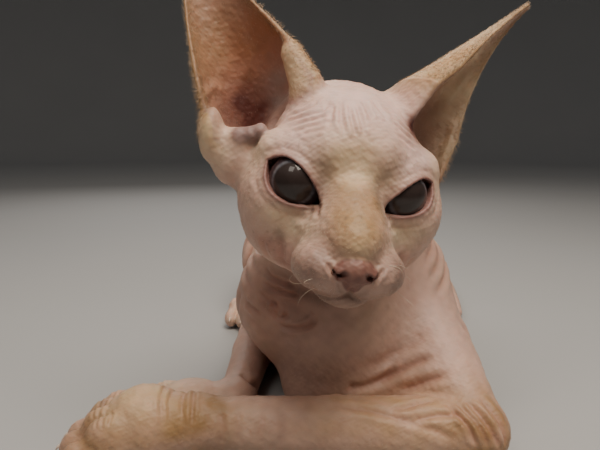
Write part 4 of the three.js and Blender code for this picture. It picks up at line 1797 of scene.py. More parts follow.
def ear_colour(ear: Ear, p: Array, colour: Array) -> Array:
    """An ear's tan back and pale rim, a painted glow of light through its middle, and warm, dark painted
    shade in its hollow, over what is there.

    Args:
        ear: the ear.
        p: world points.
        colour: the colours that are there.

    Returns:
        The new colours.
    """
    t, angle, outside, half = ear.chart(p)
    leaf = ease(6, 1, np.abs(outside + 1)) * ease(-0.12, 0.06, t) * ease(2.6, 1.6, np.abs(angle) / half)
    back = ease(-1.6, -0.6, outside)
    rim = np.clip(bell((np.abs(angle) / half - 1) * half * 12, 2.4) + bell((t - 1) * 80, 4), 0, 1)
    within = 1 - back
    outer = ease(-0.1, -0.9, angle / half)
    shade = blend_in(colour, TAN, leaf * back * 0.85)
    shade = blend_in(shade, CREAM, leaf * back * ease(0.1, 0.6, ripple(p, 6, 31) * 0.5 + 0.3) * 0.3)
    shade = blend_in(shade, MAUVE, leaf * within * 0.85)
    # painted glow of light shining through the middle of the leaf
    shade = blend_in(shade, EAR_GLOW, leaf * within * bell((t - 0.42) / 0.34, 1) * (1 - outer * 0.4) * 0.9)
    shade = blend_in(shade, FAWN, leaf * within * outer * ease(0.02, 0.2, t) * 0.5)
    # painted shade in the cup's hollow: warm red, then near black deepest in
    low = np.array((0.5, -1.5, 6)) if ear.side is Side.RIGHT else np.array((2, -3, 4))
    hollow = np.exp(-((np.linalg.norm((ear.place.into(p) - low) / (15, 16, 19), axis=1)) ** 2))
    shade = blend_in(shade, RED, leaf * within * hollow * 1.1)
    shade = blend_in(shade, HOLLOW_SHADE, leaf * within * ease(0.35, 0.95, hollow + 0.12 * ripple(p, 4, 32)))
    return blend_in(shade, FAWN, leaf * rim * 0.6)


def head_colour(p: Array, colour: Array) -> Array:
    """Ear lumps, lid rims, nose, and painted shade in the nostrils, over what is there.

    Args:
        p: world points.
        colour: the colours that are there.

    Returns:
        The new colours.
    """
    for lump in EAR_ROLLS[1:4]:
        colour = blend_in(colour, LILAC, ease(1.5, 0, lump.form.distance(p)) * 0.85)
    colour = blend_in(colour, SAND, ease(2, 0, EAR_ROLLS[0].form.distance(p)) * 0.85)
    for side in Side:
        close, edge, q = LIDS[side].spots(p)
        if not len(close):
            continue
        inner = ease(-6, -10.5, q[:, 0])
        rim = blend_in(colour[close], RIM, bell(np.maximum(edge - 0.2, 0), 1.4) * 0.9)
        rim = blend_in(rim, BROWN, bell(np.maximum(edge, 0), 1.8) * inner * 0.85)
        rim = blend_in(rim, MAUVE, bell(edge - 2.6, 1.6) * 0.3)
        colour[close] = blend_in(rim, RIM, ease(0.1, -0.5, edge) * 0.9)
    colour = blend_in(colour, LEATHER, ease(0.55, 0.0, NOSE.distance(p)) * (0.94 + 0.06 * ripple(p, 1.5, 44)))
    # painted shade inside the carved nostrils
    return blend_in(colour, NOSTRIL_SHADE, ease(0.7, 0.0, NOSTRILS.distance(p)) * 0.85)


def hide_colour(p: Array, crease: Array | None = None) -> Array:
    """The colour of skin and down at points, with painted shade in creases, hollows and under the head.

    Args:
        p: world points.
        crease: how deep in a crease each lies.

    Returns:
        One row of light reflected for each point.
    """
    colour = np.tile(np.array(PINK), (len(p), 1))
    colour = blend_in(colour, MAUVE, 0.14 + 0.12 * ripple(p, 22, 41))
    colour = blend_in(colour, CREAM, 0.1 * ripple(p, 14, 42))
    cloud = 1 + 0.25 * ripple(p, 5, 43)
    for group in cells_of(p, 16):
        some, shade = p[group], colour[group]
        for patch in patches().touching(some):
            shade = blend_in(shade, patch.colour, patch.share(some) * cloud[group])
        for ear in EARS.values():
            low, high = ear.box
            if np.all(some.max(0) > low) and np.all(some.min(0) < high):
                shade = ear_colour(ear, some, shade)
        for patch in ear_patches().touching(some):
            shade = blend_in(shade, patch.colour, patch.share(some) * cloud[group])
        if some[:, 1].min() < 30 and some[:, 2].max() > 70:
            shade = head_colour(some, shade)
        for speck in freckles().touching(some):
            shade = blend_in(shade, speck.colour, speck.share(some))
        colour[group] = shade
    # painted shade: each point darkened by how deep in a crease it lies
    if crease is not None:
        colour = blend_in(colour, CREASE_SHADE, crease * 0.5)
    return np.clip(colour * (1 + 0.035 * ripple(p, 2.5, 45))[:, None], 0.005, 0.9)


def new_mesh(name: str, corners: Array, faces: Sequence[Array]) -> bpy.types.Object:
    """A mesh object from corners in millimetres and faces grouped by their number of sides.

    Args:
        name: the piece's name.
        corners: one row for each corner.
        faces: arrays of corner numbers.

    Returns:
        The object, linked to the scene and smooth-shaded.
    """
    mesh = bpy.data.meshes.new(name)
    sides = np.concatenate([np.full(len(f), f.shape[1]) for f in faces])
    loops = np.concatenate([f.ravel() for f in faces]).astype(np.int32)
    mesh.vertices.add(len(corners))
    mesh.vertices.foreach_set("co", (corners * MM).astype(np.float32).ravel())
    mesh.loops.add(len(loops))
    mesh.loops.foreach_set("vertex_index", loops)
    mesh.polygons.add(len(sides))
    mesh.polygons.foreach_set("loop_start", np.concatenate(((0,), np.cumsum(sides)[:-1])).astype(np.int32))
    mesh.polygons.foreach_set("use_smooth", np.ones(len(sides), bool))
    mesh.update(calc_edges=True)
    mesh.validate()
    piece = bpy.data.objects.new(name, mesh)
    bpy.context.scene.collection.objects.link(piece)
    return piece


class Graph:
    """One material's node tree, built a node at a time."""

    def __init__(self, name: str) -> None:
        """An empty tree with a surface shader at its end.

        Args:
            name: the material's name.
        """
        self.material = bpy.data.materials.new(name)
        self.material.use_nodes = True
        self.tree = self.material.node_tree
        self.shader = self.tree.nodes["Principled BSDF"]

    def node(self, kind: str, inputs: dict[str | int, object], **settings: object) -> bpy.types.Node:
        """A node with its inputs set, or linked where a value is a socket.

        Args:
            kind: the node's type.
            inputs: values or sockets by the name or number of the input.
            settings: other properties of the node.

        Returns:
            The node.
        """
        made = self.tree.nodes.new("ShaderNode" + kind)
        for name, value in settings.items():
            setattr(made, name, value)
        self.feed(made, inputs)
        return made

    def feed(self, node: bpy.types.Node, inputs: dict[str | int, object]) -> None:
        """Sets or links a node's inputs.

        Args:
            node: the node.
            inputs: values or sockets by the name or number of the input.
        """
        for name, value in inputs.items():
            if isinstance(value, bpy.types.NodeSocket):
                self.tree.links.new(value, node.inputs[name])
            else:
                node.inputs[name].default_value = value

    def noise(self, scale: float, detail: float) -> bpy.types.NodeSocket:
        """Noise over the piece, between 0 and 1.

        Args:
            scale: how fine it is.
            detail: how many finer layers are in it.

        Returns:
            Its socket.
        """
        place = self.node("TexCoord", {})
        cloud = {"Vector": place.outputs["Object"], "Scale": scale, "Detail": detail}
        return self.node("TexNoise", cloud).outputs[0]

    def cloud(self, scale: float, detail: float, low: float, high: float) -> bpy.types.NodeSocket:
        """The same noise, spread from one value to another."""
        reach = {"Value": self.noise(scale, detail), "To Min": low, "To Max": high}
        return self.node("MapRange", reach).outputs[0]

    def varied(
        self, layer: str, scale: float, detail: float, low: float, high: float
    ) -> bpy.types.NodeSocket:
        """The colours painted on a mesh, darker and lighter by such a cloud.

        Args:
            layer: the name they were painted under.
            scale: how fine the cloud is.
            detail: how many finer clouds are in it.
            low: what the darkest spots are multiplied by.
            high: what the lightest spots are multiplied by.

        Returns:
            The colour's socket.
        """
        own = self.node("VertexColor", {}, layer_name=layer)
        value = self.cloud(scale, detail, low, high)
        return self.node("HueSaturation", {"Color": own.outputs["Color"], "Value": value}).outputs[0]

    def finish(self, inputs: dict[str | int, object]) -> bpy.types.Material:
        """The material, its shader set or linked."""
        self.feed(self.shader, inputs)
        return self.material


def paint(piece: bpy.types.Object, name: str, rgb: Array) -> None:
    """A colour for each corner of a mesh."""
    layer = piece.data.color_attributes.new(name, "FLOAT_COLOR", "POINT")
    layer.data.foreach_set("color", np.hstack((rgb, np.ones((len(rgb), 1)))).astype(np.float32).ravel())


@dataclass(frozen=True)
class HideFinish:
    """Warm, soft skin with pores."""

    roughness: float = 0.55

    def material(self) -> bpy.types.Material:
        """Colour from the hide's markings and the shade painted into them, pores and fine lines.

        Returns:
            The material.
        """
        g = Graph("hide")
        place = g.node("TexCoord", {})
        pores = g.node("TexVoronoi", {"Vector": place.outputs["Object"], "Scale": 900.0})
        bump = g.node("Bump", {"Height": pores.outputs[0], "Strength": 0.15, "Distance": 0.0003})
        return g.finish(
            {
                "Base Color": g.varied("Hide", 90.0, 4.0, 0.85, 1.12),
                "Normal": bump.outputs[0],
                "Roughness": self.roughness,
                "Subsurface Weight": 0.2,
                "Subsurface Radius": (1.0, 0.35, 0.2),
                "Subsurface Scale": 0.003,
            }
        )


@dataclass(frozen=True)
class EyeFinish:
    """A wet eye: its own colours under a clear coat."""

    def material(self) -> bpy.types.Material:
        """Colours of the eye, broken up a little, under a coat.

        Returns:
            The material.
        """
        g = Graph("eye")
        return g.finish(
            {
                "Base Color": g.varied("Eye", 700.0, 2.0, 0.8, 1.2),
                "Roughness": 0.3,
                "Specular IOR Level": 0.1,
                "Coat Weight": 1.0,
                "Coat Roughness": 0.02,
                "Coat IOR": 1.38,
            }
        )


FLESH_NODES = tuple(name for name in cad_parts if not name.startswith("eye_"))


@dataclass
class Skin:
    """One skin for all of the flesh."""

    grid: Grid = field(default_factory=Grid)
    fine: bool = True

    def split(self, corners: Array, quads: Array) -> tuple[Array, list[Array]]:
        """Smaller faces on the head and the laid-out paw, and again round eyes, nose and mouth.

        Args:
            corners: the mesh's corners.
            quads: its faces.

        Returns:
            The corners with the new ones, and the faces by their number of sides.
        """
        middle = corners[quads].mean(1)
        q = HEAD.into(middle)
        head = (q[:, 1] < 60) & (q[:, 2] > -36) & (middle[:, 2] > 62)
        paw = (middle[:, 0] < -62) & (middle[:, 1] < -20)
        creased = (middle[:, 1] < -14) & (middle[:, 2] < 74)
        corners, faces = refined(corners, quads, head | paw | creased)
        q = HEAD.into(corners[faces[0]].mean(1))
        eyes = np.linalg.norm(np.abs(q) * (1, 0.6, 1) - (EYE_AT[0], 4, 0), axis=1) < 15
        mouth = np.linalg.norm((q - (0, -34, -22)) / (1.2, 1, 1), axis=1) < 14
        corners, more = refined(corners, faces[0], (eyes | mouth) & (q[:, 1] < -1))
        return corners, more + faces[1:]

    def build(self) -> bpy.types.Object:
        """Meshes the flesh, folds it and stands for its solids.

        Returns:
            The piece.
        """
        corners, quads = self.grid.mesh()
        corners, _ = onto_skin(corners)
        corners, faces = self.split(corners, quads) if self.fine else (corners, [quads])
        corners, normals = onto_skin(corners)
        lift, crease = Relief().rows(corners)
        colour = hide_colour(corners, crease)
        piece = new_mesh("skin", corners + normals * lift[:, None], faces)
        paint(piece, "Hide", colour)
        piece.data.materials.append(HideFinish().material())
        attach(piece, "root")
        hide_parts(*FLESH_NODES)
        LOG.info("skin: %d corners, %d faces", len(corners), len(piece.data.polygons))
        return piece


@dataclass(frozen=True)
class Eyeball:
    """One eye, with its bulging front."""

    side: Side
    radius: float = EYE_RADIUS
    bulge: float = 0.5
    iris: tuple[float, float] = (0.67, 0.73)  # the angles off the gaze between which each colour comes in
    limbus: tuple[float, float] = (0.79, 0.87)
    white: tuple[float, float] = (0.95, 1.1)

    def colour(self, lean: Array, turn: Array) -> Array:
        """Wide pupil, thin blue-grey iris and dull pink white.

        Args:
            lean: the angle of each corner off the gaze.
            turn: its angle round the gaze.

        Returns:
            One row of light reflected for each corner.
        """
        fibres = 0.5 + 0.5 * np.sin(turn * 23) * np.sin(turn * 41 + 1)
        iris = np.array(IRIS) + fibres[:, None] * (0.05, 0.045, 0.045)
        colour = np.tile(np.array(PUPIL), (len(lean), 1))
        colour = mix(colour, iris, ease(*self.iris, lean)[:, None])
        colour = blend_in(colour, LIMBUS, ease(*self.limbus, lean))
        return blend_in(colour, WHITE, ease(*self.white, lean))

    def build(self) -> bpy.types.Object:
        """Rings round the gaze.

        Returns:
            The piece.
        """
        rings, sides = 72, 96
        turn = np.linspace(0, 2 * np.pi, sides, endpoint=False)
        lean = np.linspace(0, np.pi, rings + 1)[1:-1]
        lean, turn = np.meshgrid(lean, turn, indexing="ij")
        reach = self.radius + self.bulge * bell(lean, 0.7)
        aside = np.sin(lean)
        ways = np.stack((aside * np.cos(turn), np.cos(lean), aside * np.sin(turn)), -1)
        spots = ways * reach[..., None]
        ends = np.array(((0, self.radius + self.bulge, 0), (0, -self.radius, 0)))
        corners = eye_place(self.side).out(np.vstack((spots.reshape(-1, 3), ends)))
        number = np.arange((rings - 1) * sides).reshape(rings - 1, sides)
        after = np.roll(number, -1, 1)
        quads = np.stack((number[:-1], number[1:], after[1:], after[:-1]), -1).reshape(-1, 4)
        count = number.size
        front = np.stack((np.full(sides, count), number[0], after[0]), -1)
        rear = np.stack((np.full(sides, count + 1), after[-1], number[-1]), -1)
        if self.side is Side.RIGHT:
            quads, front, rear = quads[:, ::-1], front[:, ::-1], rear[:, ::-1]
        piece = new_mesh(f"eyeball_{self.side.word}", corners, [quads, np.vstack((front, rear))])
        paint(piece, "Eye", self.colour(np.append(lean.ravel(), (0, np.pi)), np.append(turn.ravel(), (0, 0))))
        piece.data.materials.append(EyeFinish().material())
        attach(piece, "root")
        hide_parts(f"eye_{self.side.word}")
        LOG.info("eyeball %s", self.side.word)
        return piece


@dataclass(frozen=True)
class Ground:
    """Where hairs can root: the middle, outward direction and size of each face, in millimetres."""

    at: Array
    out: Array
    area: Array

    @classmethod
    def of(cls, skin: bpy.types.Object) -> "Ground":
        """The faces of a skin.

        Args:
            skin: the skin's mesh object.

        Returns:
            Where hairs can root on it.
        """
        count = len(skin.data.polygons)
        values = {"center": np.zeros(count * 3), "normal": np.zeros(count * 3), "area": np.zeros(count)}
        for name, row in values.items():
            skin.data.polygons.foreach_get(name, row)
        at, out = (values[name].reshape(-1, 3) for name in ("center", "normal"))
        return cls(at / MM, out, values["area"] / MM**2)

    def roots(self, density: Array, draw: np.random.Generator) -> tuple[Array, Array, Array]:
        """Random roots, as many to the square millimetre as each face's density.

        Args:
            density: one for each face.
            draw: gives the random numbers.

        Returns:
            The face, place and outward direction of each root.
        """
        counts = draw.poisson(density * self.area)
        face = np.repeat(np.arange(len(counts)), counts)
        out = self.out[face]
        nudge = draw.uniform(-0.5, 0.5, (len(face), 3)) * np.sqrt(self.area[face])[:, None]
        nudge -= out * (nudge * out).sum(1)[:, None]
        return face, self.at[face] + nudge, out


@dataclass(frozen=True)
class Strands:
    """Thin solid hairs, each a bent three-sided spike sunk in the skin."""

    root: Array
    out: Array
    lie: Array
    length: Array
    width: Array
    lift: Array
    bend: Array
    rings: int = 2
    curve: float = 0.55  # how much of its rise a hair has lost at its tip
    sunk: float = 0.12  # how deep its root sits, as a share of its length
    taper: float = 0.7

    def mesh(self) -> tuple[Array, list[Array], Array]:
        """All of them in one mesh.

        Returns:
            Corners, faces by their number of sides, and the place of each corner across and along its hair.
        """
        count, sides = len(self.root), 3
        side = unit(np.cross(self.out, self.lie))
        length = self.length[:, None]
        corners, spots = [], []
        for ring in range(self.rings + 1):
            s = ring / self.rings
            rise = self.lift[:, None] * (s - self.curve * s * s) - self.sunk * (1 - s)
            middle = self.root + length * (self.lie * s + self.out * rise + side * self.bend[:, None] * s * s)
            if ring == self.rings:
                corners.append(middle[:, None])
                spots.append(np.tile((0.0, 1.0), (count, 1, 1)))
                break
            radius = self.width[:, None] * 0.5 * (1 - s) ** self.taper
            turns = [2 * math.pi * n / sides for n in range(sides)]
            ways = [side * math.cos(turn) + self.out * math.sin(turn) for turn in turns]
            corners.append(np.stack([middle + radius * way for way in ways], 1))
            spots.append(np.tile([(math.cos(turn), s) for turn in turns], (count, 1, 1)))
        corners, spots = np.concatenate(corners, 1), np.concatenate(spots, 1)
        per = corners.shape[1]
        first = np.arange(count)[:, None] * per
        quads, tips = [], []
        for n in range(sides):
            after = (n + 1) % sides
            for ring in range(self.rings - 1):
                low = ring * sides
                quads.append(first + np.array((low + n, low + after, low + sides + after, low + sides + n)))
            last = (self.rings - 1) * sides
            tips.append(first + np.array((last + n, last + after, per - 1)))
        base = first + np.array((2, 1, 0))
        faces = [np.vstack(quads), np.vstack([*tips, base])]
        return corners.reshape(-1, 3), faces, spots.reshape(-1, 2)


ISLAND, MARGIN = 0.94, 0.03  # how much of its cell of the flat map an island takes, and the edge round it


class Unwrap(Protocol):
    """Lays places on the skin out flat, between 0 and 1 both ways."""

    def spots(self, p: Array) -> Array:
        """The flat place of each point."""


@dataclass(frozen=True)
class RoundBones:
    """Each part of the skin unrolled from round the nearest of some bones, each on an island of its own."""

    bones: tuple[Bone, ...]

    def spots(self, p: Array) -> Array:
        """Turn round the bone across, way along it upwards.

        Args:
            p: world points.

        Returns:
            One row for each point.
        """
        nearest = np.stack([bone.distance(p) for bone in self.bones]).argmin(0)
        columns = math.ceil(math.sqrt(len(self.bones)))
        flat = np.zeros((len(p), 2))
        for number, bone in enumerate(self.bones):
            mine = nearest == number
            along = np.subtract(bone.b, bone.a)
            q = p[mine] - bone.a
            across = unit(np.cross(along, (0.31, 0.52, 0.79)))
            upward = unit(np.cross(along, across))
            turn = 0.5 + np.arctan2(q @ upward, q @ across) / (2 * math.pi)
            way = np.clip(q @ along / (along @ along) * 0.5 + 0.25, 0, 1)
            cell = (number % columns, number // columns)
            flat[mine] = (np.stack((turn, way), 1) * ISLAND + MARGIN + cell) / columns
        return flat


@dataclass(frozen=True)
class EarSheets:
    """The back and the front of each ear, unrolled from its cup, side by side."""

    def spots(self, p: Array) -> Array:
        """Turn round the cup across, height up the ear upwards.

        Args:
            p: world points.

        Returns:
            One row for each point.
        """
        rows = []
        for ear in EARS.values():
            t, angle, outside, _ = ear.chart(p)
            rows.append((np.linalg.norm(p - ear.place.out((0, 0, 30)), axis=1), t, angle, outside))
        right, left = rows
        mine = right[0] < left[0]
        t, angle, outside = (np.where(mine, a, b) for a, b in zip(right[1:], left[1:]))
        column = np.where(mine, 0, 2) + (outside < -1)
        u = (np.clip(0.5 + angle / (2 * math.pi), 0, 1) * ISLAND + MARGIN + column) / 4
        return np.stack((u, np.clip(t * 0.8 + 0.12, 0.01, 0.99)), 1)


class Part(Enum):
    """A part of the skin that has down of its own."""

    EARS = "ears"
    HEAD = "head"
    TRUNK = "trunk"
    LIMBS = "limbs"


LEGS = tuple(part for leg in FORELEGS.values() for part in (leg.arm(), leg.forearm()))
HIND_LEGS = tuple(hind_leg(side) for side in Side)
LIMB_FORMS = Flesh(tuple(Step(form, 1) for form in (*LEGS, *HIND_LEGS, tail())))


def part_of(p: Array) -> dict[Part, Array]:
    """Which points belong to each part of the skin.

    Args:
        p: world points.

    Returns:
        For each part, which points are on it.
    """
    on_ear = np.zeros(len(p), bool)
    for ear in EARS.values():
        t, angle, outside, half = ear.chart(p)
        on_ear |= (np.abs(outside + 1.2) < 3.4) & (t > 0.03) & (t < 1.1) & (np.abs(angle) < half + 0.4)
    q = HEAD.into(p)
    on_head = ~on_ear & (np.linalg.norm((q - (0, 6, -4)) / (46, 52, 42), axis=1) < 1)
    on_limb = ~on_ear & ~on_head & (over_limbs(p) < 1.2)
    return {
        Part.EARS: on_ear,
        Part.HEAD: on_head,
        Part.LIMBS: on_limb,
        Part.TRUNK: ~on_ear & ~on_head & ~on_limb,
    }


def over_limbs(p: Array) -> Array:
    """Distance outside legs and tail, far away where there are none.

    Args:
        p: world points.

    Returns:
        One distance for each point.
    """
    distance = np.full(len(p), FAR)
    for step in LIMB_FORMS.steps:
        low, high = step.form.box
        close = np.flatnonzero(np.all((p > low - 3) & (p < high + 3), axis=1))
        if len(close):
            distance[close] = np.minimum(distance[close], step.form.distance(p[close]))
    return distance


def nap_of(part: Part, p: Array) -> tuple[Array, Array]:
    """How many hairs there are to the square millimetre, and how long they are.

    Args:
        part: the part of the skin that the points are on.
        p: the points.

    Returns:
        Density and length in millimetres.
    """
    if part is Part.EARS:
        density, length = np.full(len(p), 0.2), np.full(len(p), 1.0)
        for ear in EARS.values():
            t, angle, outside, half = ear.chart(p)
            mine = (np.abs(outside + 1.2) < 3.6) & (np.abs(angle) < half + 0.5) & (t < 1.2)
            rim = np.clip(bell((np.abs(angle) / half - 1) * half * 14, 3) + bell((t - 1) * 80, 6), 0, 1)
            back = ease(-1.4, -0.4, outside)
            low = ease(0.45, 0.1, t) * ease(0.3, 0.8, -angle / half)
            density = np.where(mine, 0.25 + 0.75 * back + 1.6 * rim + 0.8 * low, density)
            length = np.where(mine, 1.1 + 0.5 * back + 0.7 * rim + 1.6 * low * rim, length)
        return density, length
    if part is Part.HEAD:
        q = HEAD.into(p)
        snout = ease(-5, -20, q[:, 1]) * ease(0.2, 1.5, NOSE.distance(p))
        cheek = bell((np.abs(q[:, 0]) - 30) / 12, 1) * bell((q[:, 2] + 10) / 16, 1)
        crown = ease(14, 24, q[:, 2])
        bare = np.ones(len(p))
        for side in Side:
            close, edge, _ = LIDS[side].spots(p)
            bare[close] = ease(0.8, 3, edge)
        roll = bell(EAR_ROLLS[0].form.distance(p), 3)
        density = (0.3 + 0.8 * snout + 0.5 * cheek - 0.16 * crown) * bare + 2 * roll
        density *= ease(0, 0.6, np.abs(NOSE.distance(p)))
        return np.maximum(density, 0), 0.6 + 0.15 * cheek + 0.4 * ease(14, -10, q[:, 2]) + 1.4 * roll
    if part is Part.LIMBS:
        feet = ease(34, 14, p[:, 2])
        return 0.18 + 0.22 * feet, 0.75 + 0.3 * feet
    return np.full(len(p), 0.07), np.full(len(p), 0.9)


def lie_of(part: Part, p: Array, out: Array) -> Array:
    """Which way hairs lie: from the nose back over the body, up the ears, and down the limbs.

    Args:
        part: the part of the skin that the points are on.
        p: the points.
        out: the outward direction at each.

    Returns:
        A direction along the skin for each point.
    """
    if part is Part.HEAD:
        way = p - HEAD.out((0, -42, -14))
    elif part is Part.EARS:
        right, left = (np.linalg.norm(p - EARS[side].place.at, axis=1) for side in Side)
        ups = [EARS[side].place.axes[2] * 0.8 for side in Side]
        hubs = [EARS[side].place.out((0, 4, 40)) for side in Side]
        nearer = (right < left)[:, None]
        way = np.where(nearer, ups[0] + unit(p - hubs[0]), ups[1] + unit(p - hubs[1]))
    else:
        way = np.tile((0.0, 1.0, -0.6), (len(p), 1))
        for side, towards in ((Side.LEFT, (-1, 0, -0.25)), (Side.RIGHT, (-0.1, -1, -0.3))):
            leg = FORELEGS[side]
            mine = leg.forearm().distance(p) < 2.5
            way[mine] = towards
            way[leg.paw.distance(p) < 2.5] = -leg.paw.place.axes[1] - np.array((0, 0, 0.3))
        for side in Side:
            way[hind_paw(side).distance(p) < 4] = (0, -1, -0.3)
    way = way - out * (way * out).sum(1)[:, None]
    return unit(way)


HEAD_BONES = RoundBones((Bone(tuple(HEAD.out((0, -34, -12))), tuple(HEAD.out((0, 40, 4))), (8, 34)),))
TRUNK_BONES = RoundBones(
    (
        Bone((0, -10, 40), (0, 220, 52), (40, 44)),
        Bone(tuple(HEAD.out((0, 34, -5))), (0, 22, 62), (27, 35)),
    )
)
LIMB_BONES = RoundBones(
    (
        *(Bone(leg.shoulder, leg.elbow, (18, 14)) for leg in FORELEGS.values()),
        *(Bone(leg.elbow, leg.wrist, (14, 10)) for leg in FORELEGS.values()),
        *(Bone(leg.wrist, tuple(leg.paw.place.out((0, -44, 8))), (12, 10)) for leg in FORELEGS.values()),
        *(Bone((34 * s, 196, 62), (45 * s, 138, 45), (24, 20)) for s in (-1, 1)),
        *(Bone((51 * s, 232, 13), (57 * s, 112, 10), (12, 10)) for s in (-1, 1)),
        *(Bone(a, b, (8, 6)) for a, b in zip(TAIL_ROUTE[:-1], TAIL_ROUTE[1:])),
    )
)


@dataclass(frozen=True)
class DownFinish:
    """Fine pale hair."""

    roughness: float = 0.5

    def material(self) -> bpy.types.Material:
        """The hide's colour, paler, a little different from hair to hair.

        Returns:
            The material.
        """
        g = Graph("down")
        tone = g.varied("Hide", 1600.0, 1.0, 0.75, 1.25)
        return g.finish({"Base Color": tone, "Roughness": self.roughness, "Sheen Weight": 0.2})


@dataclass(frozen=True)
class Down:
    """The down on one part of the skin."""

    part: Part
    unwrap: Unwrap
    slot: str
    width: float = 0.14
    lift: float = 0.55
    seed: int = 1
    most: int = 18000
    stray: float = 0.22  # how far hairs stray from the way that they lie
    clear: float = 1.5  # no hair roots lower than this
    straw: float = 0.2  # how much paler than the skin they are
    on_map: tuple[float, float] = (0.0015, 0.003)  # the width and length of a hair on the flat map

    def build(self, ground: Ground, mine: Array) -> bpy.types.Object:
        """Roots the hairs, lays them along the skin and maps each to its root's flat place.

        Args:
            ground: the skin's faces.
            mine: which faces are of this part.

        Returns:
            The joined mesh.
        """
        draw = np.random.default_rng(self.seed)
        density, length = nap_of(self.part, ground.at)
        density = density * mine * (ground.at[:, 2] > self.clear)
        total = float((density * ground.area).sum())
        face, root, out = ground.roots(density * min(1, self.most / total), draw)
        count = len(root)
        lie = unit(lie_of(self.part, root, out) + draw.normal(0, self.stray, (count, 3)))
        lie = unit(lie - out * (lie * out).sum(1)[:, None])
        size = length[face] * draw.uniform(0.6, 1.25, count)
        strands = Strands(
            root=root,
            out=out,
            lie=lie,
            length=size,
            width=self.width * draw.uniform(0.7, 1.2, count),
            lift=self.lift * draw.uniform(0.5, 1.5, count),
            bend=draw.normal(0, 0.2, count),
        )
        corners, faces, spots = strands.mesh()
        piece = new_mesh(f"down_{self.part.value}", corners, faces)
        each = len(corners) // count
        pale = blend_in(hide_colour(root), STRAW, np.full(count, self.straw))
        pale = np.clip(pale * draw.uniform(0.85, 1.15, (count, 1)), 0, 0.95)
        paint(piece, "Hide", np.repeat(pale, each, 0))
        flat = np.repeat(self.unwrap.spots(root), each, 0) + (spots - (0, 0.5)) * self.on_map
        self.map_to(piece, flat)
        piece.data.materials.append(DownFinish().material())
        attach(piece, "root")
        LOG.info("%s: %d hairs", piece.name, count)
        return piece

    def map_to(self, piece: bpy.types.Object, flat: Array) -> None:
        """Writes the flat place of each corner as the piece's own map.

        Args:
            piece: the mesh object.
            flat: the flat place of each corner.
        """
        layer = piece.data.uv_layers.new(name="OFBake")
        corner = np.zeros(len(piece.data.loops), np.int32)
        piece.data.loops.foreach_get("vertex_index", corner)
        layer.data.foreach_set("uv", flat[corner].astype(np.float32).ravel())


@dataclass(frozen=True)
class HornFinish:
    """Two tones clouded into each other, for whiskers and claws."""

    name: str
    dark: Triple
    pale: Triple
    scale: float
    detail: float
    roughness: float

    def material(self) -> bpy.types.Material:
        """The material of that name.

        Returns:
            The material.
        """
        g = Graph(self.name)
        grain = g.noise(self.scale, self.detail)
        tones = {"Fac": grain, "Color1": (*self.dark, 1), "Color2": (*self.pale, 1)}
        shade = g.node("MixRGB", tones)
        return g.finish({"Base Color": shade.outputs[0], "Roughness": self.roughness})


WHISKER = HornFinish("whisker", (0.5, 0.4, 0.3), (0.66, 0.56, 0.45), 300.0, 2.0, 0.35)
CLAW = HornFinish("claw", (0.62, 0.44, 0.34), (0.8, 0.7, 0.6), 500.0, 3.0, 0.3)


@dataclass(frozen=True)
class Wires:
    """Long thin tubes that taper to a point."""

    routes: tuple[Array, ...]
    radius: float
    sides: int = 5

    def mesh(self) -> tuple[Array, list[Array]]:
        """All tubes in one mesh, closed at the root and ending in a point.

        Returns:
            Corners, and faces by their number of sides.
        """
        corners, quads, caps = [], [], []
        count = 0
        for route in self.routes:
            ways = unit(np.gradient(route, axis=0))
            side = unit(np.cross(ways, (0.2, 0.3, 0.93)))
            up = np.cross(ways, side)
            turns = np.arange(self.sides) * 2 * math.pi / self.sides
            radius = self.radius * (1 - np.linspace(0, 0.999, len(route)) ** 1.6)
            ring = side[:, None] * np.cos(turns)[None, :, None] + up[:, None] * np.sin(turns)[None, :, None]
            spots = route[:, None] + ring * radius[:, None, None]
            spots = spots[:-1].reshape(-1, 3)
            number = count + np.arange(len(spots)).reshape(-1, self.sides)
            after = np.roll(number, -1, 1)
            quads.append(np.stack((number[:-1], after[:-1], after[1:], number[1:]), -1).reshape(-1, 4))
            tip, base = count + len(spots), count + len(spots) + 1
            caps.append(np.stack((number[-1], after[-1], np.full(self.sides, tip)), -1))
            caps.append(np.stack((after[0], number[0], np.full(self.sides, base)), -1))
            corners += [spots, route[-1:], route[:1]]
            count = base + 1
        return np.vstack(corners), [np.vstack(quads), np.vstack(caps)]


